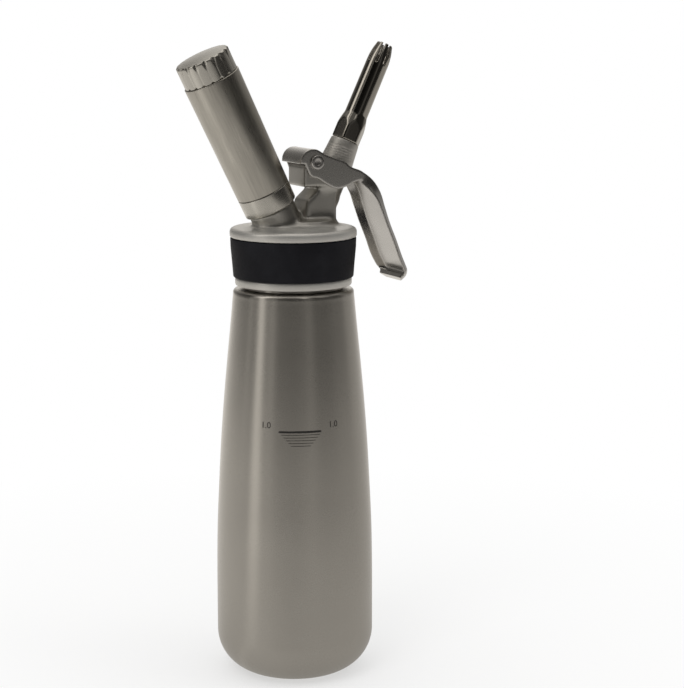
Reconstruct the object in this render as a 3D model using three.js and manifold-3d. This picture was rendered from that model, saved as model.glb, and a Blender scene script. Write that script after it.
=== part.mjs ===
// A whipped cream dispenser of the one litre class, in millimetres, with +Z up.
// The origin is the middle of the bottle's flat base.
// The nozzle and the lever point along +X, the charger holder leans towards -X,
// and the lever's pivot pin lies along Y.
import * as THREE from 'three';
import Module from 'manifold-3d';
import { mergeVertices } from 'three/addons/utils/BufferGeometryUtils.js';

const wasm = await Module();
wasm.setup();

// Fits, overrun and counts
const SEAT_GAP = 0.3;
const RUN_GAP = 0.45;
const CUT_OVERRUN = 2;
const BODY_STEPS = 32;
const TUBE_STEPS = 24;
const SMALL_STEPS = 16;

// Bottle
const BODY_RADIUS = 46.2;
const BODY_HEIGHT = 229.3;
const BASE_CORNER_RADIUS = 24.5;
const BODY_WALL = 1.3;
const SHOULDER_CORNER_RADIUS = 2.6;
const NECK_RADIUS = 28.5;
const NECK_HEIGHT = 26.7;
const BODY_OUTLINE_SHARES = [
  [0.174, 1.0], [0.283, 0.998], [0.392, 0.987], [0.497, 0.962], [0.602, 0.933],
  [0.706, 0.894], [0.811, 0.846], [0.916, 0.794], [0.985, 0.762],
];

// Neck thread, shared by the bottle's neck and the head
const NECK_THREAD_PITCH = 4.4;
const NECK_THREAD_DEPTH = 1.2;
const NECK_THREAD_CREST = 1;
const NECK_THREAD_RIDGES = 2;
const NECK_THREAD_START = 7;

// Head gasket
const GASKET_THICKNESS = 2;
const GASKET_WIDTH = 3.6;

// Head: skirt, grip groove and disc
const SHOULDER_TO_SKIRT = 2;
const SKIRT_LIP_HEIGHT = 4.4;
const SKIRT_LIP_RADIUS = 33.9;
const GROOVE_RADIUS = 32.9;
const DISC_RADIUS = 36.8;
const DISC_EDGE_HEIGHT = 5.4;
const DISC_EDGE_ROUND = 3;
const DISC_CROWN = 1;
const SKIRT_THREAD_CLEARANCE = 0.7;

// Grip band
const BAND_HEIGHT = 22.9;
const BAND_TOP_RADIUS = 36.5;
const BAND_BOTTOM_RADIUS = 34.9;
const BAND_CORNER = 1.2;

// Charger inlet: the boss on the head, its stud and the parts inside
const INLET_LEAN = THREE.MathUtils.degToRad(26);
const INLET_CROSSING_DEPTH = 17;
const INLET_BOSS_LENGTH = 32;
const INLET_BOSS_RADIUS = 13.6;
const STUD_LENGTH = 12.3;
const STUD_RADIUS = 11;
const INLET_BORE_RADIUS = 5.3;
const PLUG_RECESS = 9.1;
const PLUG_LENGTH = 18.6;
const PLUG_TIP_LENGTH = 3.8;
const PLUG_TIP_RADIUS = 2.9;
const PLUG_TIP_RIM_RADIUS = 4.6;
const GAS_CHANNEL_RADIUS = 0.8;
const PIERCING_PIN_RADIUS = 1.2;
const PIERCING_PIN_LENGTH = 11;
const PIERCING_PIN_SEAT = 6;
const CHARGER_SEAL_THICKNESS = 1.8;
const SLEEVE_WALL = 1.1;

// Charger holder
const HOLDER_LENGTH = 95.2;
const HOLDER_BASE_RADIUS = 15.4;
const HOLDER_TOP_RADIUS = 16.4;
const HOLDER_BORE_RADIUS = 10.2;
const HOLDER_EDGE = 0.6;
const BASE_RING_HEIGHT = 11;
const HOLDER_THREAD_PITCH = 2.8;
const HOLDER_THREAD_DEPTH = 0.8;
const HOLDER_THREAD_CREST = 0.6;
const HOLDER_THREAD_RIDGES = 3;
const CAP_HEIGHT = 12.9;
const CAP_RADIUS = 15.8;
const CAP_ROUND = 1.2;
const CAP_CROWN = 1.2;
const CAP_PLUG_LENGTH = 6;
const CAP_PLUG_INSET = 2.6;
const CAP_FLUTES = 18;
const FLUTE_RADIUS = 1.6;
const FLUTE_DEPTH = 0.55;

// Gas charger
const CHARGER_RADIUS = 9;
const CHARGER_LENGTH = 65.5;
const CHARGER_NECK_RADIUS = 4.4;
const CHARGER_NECK_CLEARANCE = 0.8;
const CHARGER_SHOULDER_LENGTH = 8;
const CHARGER_BOTTOM_ROUND = 6;
const PIERCED_HOLE_RADIUS = 1.7;
const PIERCED_HOLE_DEPTH = 7;

// Dispensing valve, along the nozzle's axis
const NOZZLE_LEAN = THREE.MathUtils.degToRad(25.1);
const NOZZLE_CROSSING_DEPTH = 23.2;
const SEAT_DISTANCE = 16;
const SEAT_BOSS_RADIUS = 8;
const STEM_GUIDE_LENGTH = 15.6;
const CHAMBER_LENGTH = 24;
const CHAMBER_RADIUS = 7;
const NOZZLE_BOSS_RADIUS = 10;
const NOZZLE_BOSS_TOP_RADIUS = 9.5;
const NOZZLE_BOSS_TOP_LENGTH = 8.7;
const STEM_RADIUS = 4.3;
const STEM_WAIST_RADIUS = 3.4;
const STEM_WAIST_LENGTH = 6;
const STEM_BORE_RADIUS = 2.2;
const STEM_COLLAR_RADIUS = 6.4;
const STEM_COLLAR_HEIGHT = 1.8;
const VALVE_HEAD_RADIUS = 6;
const VALVE_HEAD_HEIGHT = 2.6;
const VALVE_SEAL_THICKNESS = 1.8;
const PORT_RADIUS = 1.2;
const RING_SEAL_WIRE_RADIUS = 0.5;
const RING_SEAL_RISE = 9.2;
const RING_GROOVE_DEPTH = 1.3;
const GLAND_NUT_HEIGHT = 2.6;
const GLAND_KEY_SLOT_WIDTH = 1.4;
const VALVE_SPRING_WIRE_RADIUS = 0.5;
const VALVE_SPRING_TURNS = 6;
const SPRING_STEPS_PER_TURN = 8;
const SPRING_SIDES = 5;

// Nozzle adaptor
const STROKE_ROOM = 3.9;
const ADAPTOR_LENGTH = 19.4;
const FLANGE_RADIUS = 8.4;
const FLANGE_HEIGHT = 1.9;
const FORK_GROOVE_RADIUS = 6;
const FORK_GROOVE_HEIGHT = 2.6;
const ADAPTOR_BOTTOM_RADIUS = 9.8;
const ADAPTOR_TOP_RADIUS = 8.4;
const ADAPTOR_EDGE = 0.5;
const ADAPTOR_THROAT_RADIUS = 3.2;
const THROAT_LENGTH = 5.3;
const SPIGOT_RADIUS = 6;
const SPIGOT_LENGTH = 6.5;
const SPIGOT_THREAD_DEPTH = 0.5;
const SPIGOT_THREAD_PITCH = 2.6;
const SPIGOT_THREAD_CREST = 0.4;
const SPIGOT_THREAD_RIDGES = 2;
const TIP_SEAL_THICKNESS = 1.1;

// Nozzle tip
const TIP_LENGTH = 61.2;
const TIP_COLLAR_RADIUS = 8.7;
const TIP_COLLAR_FLATS_RADIUS = 7.7;
const TIP_COLLAR_HEIGHT = 8.4;
const TIP_COLLAR_SIDES = 6;
const TIP_COLLAR_TURN = THREE.MathUtils.degToRad(-9);
const TIP_CONE_HEIGHT = 8;
const TIP_TUBE_RADIUS = 6.8;
const TIP_END_RADIUS = 6.6;
const TIP_MOUTH_RADIUS = 4.4;
const TIP_CLOSING_LENGTH = 10;
const TIP_WALL = 1.1;
const TIP_SLOTS = 8;
const TIP_SLOT_LENGTH = 13;
const TIP_SLOT_WIDTH = 1.3;

// Tower between the two leaning tubes, with the pivot pin through it
const PIN_BEHIND_LUGS = 17.6;
const PIN_ABOVE_LUGS = 4.22;
const PIN_RADIUS = 2;
const PIN_HEAD_RADIUS = 4;
const PIN_HEAD_HEIGHT = 1.2;
const PIN_DIMPLE_RADIUS = 1.7;
const PIN_DIMPLE_DEPTH = 0.8;
const TOWER_WIDTH = 22.6;
const TOWER_EYE_RADIUS = 5.4;
const TOWER_EYE_STEPS = 8;
const TOWER_REAR_SHARES = [[0.06, 0.62], [0.06, 0.92]];
const TOWER_FRONT_SHARES = [[0.696, 0.683], [0.69, 0.62]];
const WEB_WIDTH = 16;
const WEB_OUTLINE_SHARES = [
  [0.112, -0.06], [0.112, 0.275], [0.13, 0.415], [0.325, 0.577], [0.325, 0.635],
  [0.64, 0.635], [0.64, -0.06],
];
const FOOT_RADIUS = 28;
const FOOT_WAIST_RADIUS = 20;
const FOOT_HEIGHT = 4.2;
const FOOT_WIDTH_SHARE = 0.8;
const FOOT_CENTRE_SHARE = 0.18;
const FOOT_STEPS = 4;

// Lever
const LEVER_LENGTH = 90;
const LEVER_WIDTH = 26.4;
const LEVER_SHEET = 1.5;
const LEVER_WALL_DEPTH = 7.5;
const LEVER_SPLAY = THREE.MathUtils.degToRad(42);
const EAR_TOP_SHARES = [
  [-0.113, -0.009], [-0.11, 0.023], [-0.091, 0.058], [-0.058, 0.08], [-0.008, 0.0835],
  [0.06, 0.049], [0.132, 0.023], [0.204, -0.004], [0.241, -0.034], [0.314, -0.063],
  [0.37, -0.099],
];
const EAR_BOTTOM_SHARES = [
  [0.385, -0.158], [0.351, -0.131], [0.278, -0.134], [0.219, -0.16], [0.143, -0.174],
  [0.06, -0.139], [0.007, -0.106], [-0.038, -0.092], [-0.069, -0.04], [-0.08, -0.012],
];
const WEB_POINTS = 5;
const TRAY_PATH_SHARES = [
  [0.35, -0.087], [0.37, -0.099], [0.416, -0.142], [0.457, -0.207], [0.491, -0.306],
  [0.526, -0.406], [0.576, -0.524], [0.624, -0.646], [0.647, -0.692],
  [0.664, -0.732], [0.66, -0.77], [0.632, -0.804],
];
const TRAY_WIDTH_SHARES = [1, 1, 1, 0.99, 0.985, 0.985, 0.985, 0.985, 0.955, 0.895, 0.77, 0.6];
const TRAY_DEPTH_SHARES = [0.83, 0.86, 0.89, 0.95, 0.99, 1, 1, 1, 0.97, 0.9, 0.76, 0.52];
const TRAY_SPLAY_SHARES = [0, 0.1, 0.34, 0.62, 0.86, 1, 1, 1, 1, 1.05, 1.14, 1.2];

// Heights and distances worked out from the sizes above
const NECK_TOP = BODY_HEIGHT + NECK_HEIGHT;
const NECK_BORE = NECK_RADIUS - BODY_WALL;
const CEILING_HEIGHT = NECK_TOP + GASKET_THICKNESS + 2 * SEAT_GAP;
const SKIRT_BOTTOM = BODY_HEIGHT + SHOULDER_TO_SKIRT;
const GROOVE_BOTTOM = SKIRT_BOTTOM + SKIRT_LIP_HEIGHT;
const GROOVE_TOP = GROOVE_BOTTOM + BAND_HEIGHT + 2 * SEAT_GAP;
const DISC_TOP = GROOVE_TOP + DISC_EDGE_HEIGHT;
const SKIRT_BORE = NECK_RADIUS + NECK_THREAD_DEPTH + SKIRT_THREAD_CLEARANCE;

// Along the inlet's axis, from the point where it crosses the bottle's axis
const INLET_CROSSING_HEIGHT = DISC_TOP - INLET_CROSSING_DEPTH;
const STUD_TOP = INLET_BOSS_LENGTH + STUD_LENGTH;
const PLUG_TOP = STUD_TOP - PLUG_RECESS;
const PLUG_BOTTOM = PLUG_TOP - PLUG_LENGTH;
const CHARGER_BOTTOM = PLUG_TOP + CHARGER_SEAL_THICKNESS + 2 * SEAT_GAP;
const CHARGER_TOP = CHARGER_BOTTOM + CHARGER_LENGTH;
const HOLDER_BOTTOM = INLET_BOSS_LENGTH + SEAT_GAP;
const HOLDER_TOP = HOLDER_BOTTOM + HOLDER_LENGTH;
const CAP_BOTTOM = HOLDER_TOP - CAP_HEIGHT;

// Along the nozzle's axis, from the point where it crosses the bottle's axis
const NOZZLE_CROSSING_HEIGHT = DISC_TOP - NOZZLE_CROSSING_DEPTH;
const CHAMBER_FLOOR = SEAT_DISTANCE + STEM_GUIDE_LENGTH;
const NOZZLE_BOSS_TOP = CHAMBER_FLOOR + CHAMBER_LENGTH;
const VALVE_SEAL_TOP = SEAT_DISTANCE - SEAT_GAP;
const VALVE_HEAD_TOP = VALVE_SEAL_TOP - VALVE_SEAL_THICKNESS - SEAT_GAP;
const GLAND_BOTTOM = NOZZLE_BOSS_TOP - GLAND_NUT_HEIGHT;
const COLLAR_TOP = GLAND_BOTTOM - SEAT_GAP;
const COLLAR_BOTTOM = COLLAR_TOP - STEM_COLLAR_HEIGHT;
const RING_SEAL_MIDDLE = SEAT_DISTANCE + RING_SEAL_RISE;
const ADAPTOR_BOTTOM = NOZZLE_BOSS_TOP + STROKE_ROOM;
const ADAPTOR_TOP = ADAPTOR_BOTTOM + ADAPTOR_LENGTH;
const STEM_TOP = ADAPTOR_TOP - THROAT_LENGTH;
const SPIGOT_TOP = ADAPTOR_TOP + SPIGOT_LENGTH;
const TIP_BOTTOM = ADAPTOR_TOP + SEAT_GAP;
const TIP_SHELF = SPIGOT_TOP + TIP_SEAL_THICKNESS + 2 * SEAT_GAP;

// The lever's lugs sit in the middle of the adaptor's groove, and the pin is placed from them.
const LUG_DISTANCE = ADAPTOR_BOTTOM + FLANGE_HEIGHT + FORK_GROOVE_HEIGHT / 2;
const LUG_RADIUS = FORK_GROOVE_HEIGHT / 2 - SEAT_GAP;
const [LUG_X, LUG_HEIGHT] = inNozzlePlane(0, LUG_DISTANCE);
const PIN_X = LUG_X - PIN_BEHIND_LUGS;
const PIN_HEIGHT = LUG_HEIGHT + PIN_ABOVE_LUGS;

// The [x, z] of a point given across the nozzle's axis and along it.
function inNozzlePlane(across, along) {
  const point = new THREE.Vector3(across, 0, along);
  point.applyAxisAngle(new THREE.Vector3(0, 1, 0), NOZZLE_LEAN);
  return [point.x, point.z + NOZZLE_CROSSING_HEIGHT];
}

// Solids and meshes
function solidOf(geometry) {
  const bare = geometry.clone();
  bare.deleteAttribute('normal');
  bare.deleteAttribute('uv');
  const merged = mergeVertices(bare);
  return new wasm.Manifold(new wasm.Mesh({
    numProp: 3,
    vertProperties: new Float32Array(merged.attributes.position.array),
    triVerts: new Uint32Array(merged.index.array),
  }));
}

function geometryOf(solid) {
  const mesh = solid.getMesh();
  const geometry = new THREE.BufferGeometry();
  geometry.setAttribute('position', new THREE.BufferAttribute(mesh.vertProperties, mesh.numProp));
  geometry.setIndex(new THREE.BufferAttribute(mesh.triVerts, 1));
  return geometry;
}

// A profile of [radius, height] points turned about Z.
// It starts and ends on the axis, or it is a ring's outline, which is closed here.
function turned(profile, steps) {
  const closed = profile[0][0] === 0 ? profile : [...profile, profile[0]];
  let area = 0;
  closed.forEach(([r, z], i) => {
    const [nextR, nextZ] = closed[(i + 1) % closed.length];
    area += r * nextZ - nextR * z;
  });
  const ordered = area > 0 ? closed : [...closed].reverse();
  const points = ordered.map(([r, z]) => new THREE.Vector2(r, z));
  return new THREE.LatheGeometry(points, steps).rotateX(Math.PI / 2);
}

function rod(radius, bottom, top, steps) {
  return turned([[0, bottom], [radius, bottom], [radius, top], [0, top]], steps);
}

function ring(inner, outer, bottom, top, steps) {
  return turned([[inner, bottom], [outer, bottom], [outer, top], [inner, top]], steps);
}

// An outline of [x, z] points drawn out along Y, with its middle at Y = 0.
function slab(outline, width) {
  const shape = new THREE.Shape(outline.map(([x, z]) => new THREE.Vector2(x, z)));
  const geometry = new THREE.ExtrudeGeometry(shape, { depth: width, bevelEnabled: false });
  return geometry.rotateX(Math.PI / 2).translate(0, width / 2, 0);
}

// A bar with a round section along Y.
function crossRod(radius, fromY, toY, x, z, steps) {
  const geometry = rod(radius, fromY, toY, steps);
  return geometry.rotateX(-Math.PI / 2).translate(x, 0, z);
}

// Points [radius, height] on an arc about a centre, angles in turns from the outward side.
function arc(centreR, centreZ, radius, fromTurn, toTurn, steps) {
  const points = [];
  for (let i = 0; i <= steps; i += 1) {
    const angle = 2 * Math.PI * (fromTurn + ((toTurn - fromTurn) * i) / steps);
    points.push([centreR + radius * Math.cos(angle), centreZ + radius * Math.sin(angle)]);
  }
  return points;
}

// The outline of thread ridges on a wall, going up. Depth is negative on an inner wall.
function ridges(wall, depth, crest, pitch, count, start) {
  const flank = Math.abs(depth) / 2;
  const points = [];
  for (let i = 0; i < count; i += 1) {
    const middle = start + i * pitch;
    points.push([wall, middle - crest / 2 - flank], [wall + depth, middle - crest / 2]);
    points.push([wall + depth, middle + crest / 2], [wall, middle + crest / 2 + flank]);
  }
  return points;
}

function leaning(geometry, lean, height) {
  return geometry.clone().rotateY(lean).translate(0, 0, height);
}

function onInlet(geometry) {
  return leaning(geometry, -INLET_LEAN, INLET_CROSSING_HEIGHT);
}

function onNozzle(geometry) {
  return leaning(geometry, NOZZLE_LEAN, NOZZLE_CROSSING_HEIGHT);
}

// Materials
function material(color, roughness, metalness) {
  return new THREE.MeshStandardMaterial({ color, roughness, metalness });
}

const satinSteel = material(0x8c8880, 0.38, 1);
const castMetal = material(0x85827b, 0.42, 1);
const chrome = material(0x9a968c, 0.12, 1);
const brightSteel = material(0xa5a29c, 0.25, 1);
const blackSilicone = material(0x14141a, 0.62, 0);
const whiteSeal = material(0xcfcac0, 0.7, 0);
const redSeal = material(0x8d3127, 0.7, 0);
const brass = material(0xb08d48, 0.35, 1);
const springSteel = material(0x77767a, 0.3, 1);
const chargerSteel = material(0xb9bcbf, 0.3, 1);

// Bottle
function bottleGeometry() {
  const wall = BODY_OUTLINE_SHARES.map(([z, r]) => [r * BODY_RADIUS, z * BODY_HEIGHT]);
  const [startR, startZ] = wall[0];
  const [endR] = wall[wall.length - 1];
  const corner = Math.min(BASE_CORNER_RADIUS, startZ);
  const shoulderR = endR - SHOULDER_CORNER_RADIUS;
  const outer = [
    [0, 0],
    ...arc(startR - corner, corner, corner, -0.25, 0, 6),
    ...wall,
    ...arc(shoulderR, BODY_HEIGHT - SHOULDER_CORNER_RADIUS, SHOULDER_CORNER_RADIUS, 0.03, 0.25, 3),
    [NECK_BORE, BODY_HEIGHT],
  ];
  const innerWall = wall.filter((point, i) => i % 2 === 0).map(([r, z]) => [r - BODY_WALL, z]);
  const inner = [
    [0, BODY_WALL],
    ...arc(startR - corner, corner, corner - BODY_WALL, -0.25, -0.01, 4),
    ...innerWall,
    [shoulderR, BODY_HEIGHT - BODY_WALL],
    [NECK_BORE, BODY_HEIGHT - BODY_WALL],
  ];
  return turned([...outer, ...inner.reverse()], BODY_STEPS);
}

// The threaded ring on the shoulder
function bottleNeckGeometry() {
  const foot = BODY_HEIGHT + SEAT_GAP;
  const profile = [
    [NECK_BORE, foot],
    [NECK_RADIUS, foot],
    ...ridges(NECK_RADIUS, NECK_THREAD_DEPTH, NECK_THREAD_CREST, NECK_THREAD_PITCH,
      NECK_THREAD_RIDGES, BODY_HEIGHT + NECK_THREAD_START),
    [NECK_RADIUS, NECK_TOP],
    [NECK_BORE, NECK_TOP],
  ];
  return turned(profile, BODY_STEPS);
}

// Head: one casting with skirt, disc, tower and two leaning bosses
function cupSolid() {
  const discRound = arc(DISC_RADIUS - DISC_EDGE_ROUND, DISC_TOP - DISC_EDGE_ROUND,
    DISC_EDGE_ROUND, 0, 0.25, 3);
  const firstRidge = BODY_HEIGHT + NECK_THREAD_START + NECK_THREAD_PITCH / 2;
  const profile = [
    [0, CEILING_HEIGHT],
    [SKIRT_BORE, CEILING_HEIGHT],
    ...ridges(SKIRT_BORE, -NECK_THREAD_DEPTH, NECK_THREAD_CREST, NECK_THREAD_PITCH,
      NECK_THREAD_RIDGES, firstRidge).reverse(),
    [SKIRT_BORE, SKIRT_BOTTOM],
    [SKIRT_LIP_RADIUS, SKIRT_BOTTOM],
    [SKIRT_LIP_RADIUS, GROOVE_BOTTOM],
    [GROOVE_RADIUS, GROOVE_BOTTOM],
    [GROOVE_RADIUS, GROOVE_TOP],
    [DISC_RADIUS, GROOVE_TOP],
    ...discRound,
    [(DISC_RADIUS - DISC_EDGE_ROUND) / 2, DISC_TOP + DISC_CROWN / 2],
    [0, DISC_TOP + DISC_CROWN],
  ];
  return solidOf(turned(profile, BODY_STEPS));
}

function onDisc([x, z]) {
  return [x * DISC_RADIUS, DISC_TOP + z * (PIN_HEIGHT - DISC_TOP)];
}

// The tower's outline: up the rear edge, round the pin's eye and down the front edge.
function towerOutline() {
  const [, seatHeight] = inNozzlePlane(-FLANGE_RADIUS - CUT_OVERRUN, NOZZLE_BOSS_TOP);
  return [
    ...TOWER_REAR_SHARES.map(onDisc),
    ...arc(PIN_X, PIN_HEIGHT, TOWER_EYE_RADIUS, 0.5, 0, TOWER_EYE_STEPS),
    [PIN_X + TOWER_EYE_RADIUS, seatHeight],
    ...TOWER_FRONT_SHARES.map(onDisc),
  ];
}

// The tower's yoke on a narrower web, less the room for the holder and the adaptor
function towerSolid() {
  const web = solidOf(slab(WEB_OUTLINE_SHARES.map(onDisc), WEB_WIDTH));
  const yoke = solidOf(slab(towerOutline(), TOWER_WIDTH));
  const holderRoom = solidOf(onInlet(rod(HOLDER_TOP_RADIUS + 2 * RUN_GAP, INLET_BOSS_LENGTH,
    HOLDER_TOP, TUBE_STEPS)));
  const roomRadius = Math.max(FLANGE_RADIUS, ADAPTOR_BOTTOM_RADIUS) + 2 * RUN_GAP;
  const adaptorRoom = solidOf(onNozzle(rod(roomRadius, NOZZLE_BOSS_TOP, ADAPTOR_TOP, TUBE_STEPS)));
  return yoke.add(web).subtract(holderRoom).subtract(adaptorRoom);
}

function footSolid() {
  const drop = FOOT_HEIGHT + CUT_OVERRUN;
  const points = [[0, DISC_TOP - CUT_OVERRUN], [FOOT_RADIUS, DISC_TOP - CUT_OVERRUN]];
  for (let i = 0; i <= FOOT_STEPS; i += 1) {
    const angle = (Math.PI / 2) * (i / FOOT_STEPS);
    const radius = FOOT_WAIST_RADIUS + (FOOT_RADIUS - FOOT_WAIST_RADIUS) * (1 - Math.sin(angle));
    points.push([radius, DISC_TOP - CUT_OVERRUN + drop * (1 - Math.cos(angle))]);
  }
  points.push([0, DISC_TOP + FOOT_HEIGHT]);
  const foot = turned(points, TUBE_STEPS);
  foot.scale(1, FOOT_WIDTH_SHARE, 1);
  return solidOf(foot.translate(FOOT_CENTRE_SHARE * DISC_RADIUS, 0, 0));
}

function bossesSolid() {
  const inlet = turned([
    [0, 0],
    [INLET_BOSS_RADIUS, 0],
    [INLET_BOSS_RADIUS, INLET_BOSS_LENGTH],
    [STUD_RADIUS, INLET_BOSS_LENGTH],
    ...ridges(STUD_RADIUS, HOLDER_THREAD_DEPTH, HOLDER_THREAD_CREST, HOLDER_THREAD_PITCH,
      HOLDER_THREAD_RIDGES, INLET_BOSS_LENGTH + HOLDER_THREAD_PITCH),
    [STUD_RADIUS, STUD_TOP],
    [0, STUD_TOP],
  ], TUBE_STEPS);
  const step = NOZZLE_BOSS_TOP - NOZZLE_BOSS_TOP_LENGTH;
  const nozzle = turned([
    [0, 0],
    [NOZZLE_BOSS_RADIUS, 0],
    [NOZZLE_BOSS_RADIUS, step],
    [NOZZLE_BOSS_TOP_RADIUS, step + NOZZLE_BOSS_RADIUS - NOZZLE_BOSS_TOP_RADIUS],
    [NOZZLE_BOSS_TOP_RADIUS, NOZZLE_BOSS_TOP],
    [0, NOZZLE_BOSS_TOP],
  ], TUBE_STEPS);
  const trimHeight = 2 * DISC_RADIUS;
  const below = new THREE.BoxGeometry(2 * trimHeight, 2 * trimHeight, trimHeight);
  const trim = solidOf(below.translate(0, 0, DISC_TOP - DISC_EDGE_HEIGHT / 2 - trimHeight / 2));
  return solidOf(onInlet(inlet)).add(solidOf(onNozzle(nozzle))).subtract(trim);
}

function headGeometry() {
  const seatBoss = solidOf(onNozzle(rod(SEAT_BOSS_RADIUS, SEAT_DISTANCE,
    SEAT_DISTANCE + SEAT_BOSS_RADIUS, TUBE_STEPS)));
  const inletBore = solidOf(onInlet(rod(INLET_BORE_RADIUS, 0, STUD_TOP + CUT_OVERRUN,
    SMALL_STEPS)));
  const stemBore = solidOf(onNozzle(rod(STEM_RADIUS + RUN_GAP, SEAT_DISTANCE - CUT_OVERRUN,
    CHAMBER_FLOOR + CUT_OVERRUN, SMALL_STEPS)));
  const chamber = solidOf(onNozzle(rod(CHAMBER_RADIUS, CHAMBER_FLOOR,
    NOZZLE_BOSS_TOP + CUT_OVERRUN, TUBE_STEPS)));
  const pinHole = solidOf(crossRod(PIN_RADIUS + SEAT_GAP, -TOWER_WIDTH, TOWER_WIDTH,
    PIN_X, PIN_HEIGHT, SMALL_STEPS));
  const casting = cupSolid().add(bossesSolid()).add(towerSolid()).add(footSolid()).add(seatBoss);
  return geometryOf(casting.subtract(inletBore).subtract(stemBore).subtract(chamber)
    .subtract(pinHole));
}

// Grip band and head gasket
function bandGeometry() {
  const bottom = GROOVE_BOTTOM + SEAT_GAP;
  const top = bottom + BAND_HEIGHT;
  const inner = GROOVE_RADIUS + SEAT_GAP;
  return turned([
    [inner, bottom],
    [BAND_BOTTOM_RADIUS - BAND_CORNER, bottom],
    [BAND_BOTTOM_RADIUS, bottom + BAND_CORNER],
    [BAND_TOP_RADIUS, top - BAND_CORNER / 2],
    [BAND_TOP_RADIUS - BAND_CORNER / 2, top],
    [inner, top],
  ], BODY_STEPS);
}

function gasketGeometry() {
  const middle = NECK_RADIUS - BODY_WALL / 2;
  const bottom = NECK_TOP + SEAT_GAP;
  return ring(middle - GASKET_WIDTH / 2, middle + GASKET_WIDTH / 2, bottom,
    bottom + GASKET_THICKNESS, BODY_STEPS);
}

// Charger inlet parts, in the inlet's own leaning frame
function inletPlugGeometry() {
  const radius = INLET_BORE_RADIUS - SEAT_GAP;
  const rimTop = PLUG_BOTTOM - PLUG_TIP_LENGTH - SEAT_GAP;
  const rimBottom = rimTop - SLEEVE_WALL;
  const pinHole = PIERCING_PIN_RADIUS + SEAT_GAP;
  const pinFloor = PLUG_TOP - PIERCING_PIN_SEAT;
  return turned([
    [GAS_CHANNEL_RADIUS, rimBottom],
    [PLUG_TIP_RIM_RADIUS, rimBottom],
    [PLUG_TIP_RIM_RADIUS, rimTop],
    [PLUG_TIP_RADIUS, rimTop],
    [PLUG_TIP_RADIUS, PLUG_BOTTOM],
    [radius, PLUG_BOTTOM],
    [radius, PLUG_TOP],
    [pinHole, PLUG_TOP],
    [pinHole, pinFloor],
    [GAS_CHANNEL_RADIUS, pinFloor],
  ], SMALL_STEPS);
}

function checkSleeveGeometry() {
  const inner = PLUG_TIP_RADIUS + SEAT_GAP;
  return ring(inner, inner + SLEEVE_WALL, PLUG_BOTTOM - PLUG_TIP_LENGTH,
    PLUG_BOTTOM - SEAT_GAP, SMALL_STEPS);
}

function piercingPinGeometry() {
  const bottom = PLUG_TOP - PIERCING_PIN_SEAT + SEAT_GAP;
  const top = bottom + PIERCING_PIN_LENGTH;
  return turned([
    [0, bottom],
    [PIERCING_PIN_RADIUS, bottom],
    [PIERCING_PIN_RADIUS, top - 2 * PIERCING_PIN_RADIUS],
    [PIERCING_PIN_RADIUS / 4, top],
    [0, top],
  ], SMALL_STEPS);
}

function chargerSealGeometry() {
  const bottom = PLUG_TOP + SEAT_GAP;
  return ring(PIERCING_PIN_RADIUS + SEAT_GAP, INLET_BORE_RADIUS - SEAT_GAP, bottom,
    bottom + CHARGER_SEAL_THICKNESS, SMALL_STEPS);
}

function chargerGeometry() {
  const shoulder = STUD_TOP + CHARGER_NECK_CLEARANCE;
  const across = CHARGER_RADIUS - CHARGER_NECK_RADIUS;
  const shoulderCurve = arc(0, 0, 1, 0, 0.25, 4).map(([out, up]) => [
    CHARGER_NECK_RADIUS + across * up,
    shoulder + CHARGER_SHOULDER_LENGTH * (1 - out),
  ]);
  return turned([
    [0, CHARGER_BOTTOM + PIERCED_HOLE_DEPTH],
    [PIERCED_HOLE_RADIUS, CHARGER_BOTTOM + PIERCED_HOLE_DEPTH],
    [PIERCED_HOLE_RADIUS, CHARGER_BOTTOM],
    [CHARGER_NECK_RADIUS, CHARGER_BOTTOM],
    ...shoulderCurve,
    ...arc(CHARGER_RADIUS - CHARGER_BOTTOM_ROUND, CHARGER_TOP - CHARGER_BOTTOM_ROUND,
      CHARGER_BOTTOM_ROUND, 0, 0.25, 3),
    [0, CHARGER_TOP],
  ], TUBE_STEPS);
}

// Charger holder pieces
function holderRadiusAt(distance) {
  const share = (distance - HOLDER_BOTTOM) / HOLDER_LENGTH;
  return HOLDER_BASE_RADIUS + (HOLDER_TOP_RADIUS - HOLDER_BASE_RADIUS) * share;
}

function holderBaseGeometry() {
  const bore = STUD_RADIUS + HOLDER_THREAD_DEPTH + RUN_GAP;
  const top = HOLDER_BOTTOM + BASE_RING_HEIGHT;
  const firstRidge = INLET_BOSS_LENGTH + HOLDER_THREAD_PITCH + HOLDER_THREAD_PITCH / 2;
  return turned([
    [bore, HOLDER_BOTTOM],
    [HOLDER_BASE_RADIUS - HOLDER_EDGE, HOLDER_BOTTOM],
    [HOLDER_BASE_RADIUS, HOLDER_BOTTOM + HOLDER_EDGE],
    [holderRadiusAt(top), top],
    [bore, top],
    ...ridges(bore, -HOLDER_THREAD_DEPTH, HOLDER_THREAD_CREST, HOLDER_THREAD_PITCH,
      HOLDER_THREAD_RIDGES - 1, firstRidge).reverse(),
  ], TUBE_STEPS);
}

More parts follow.
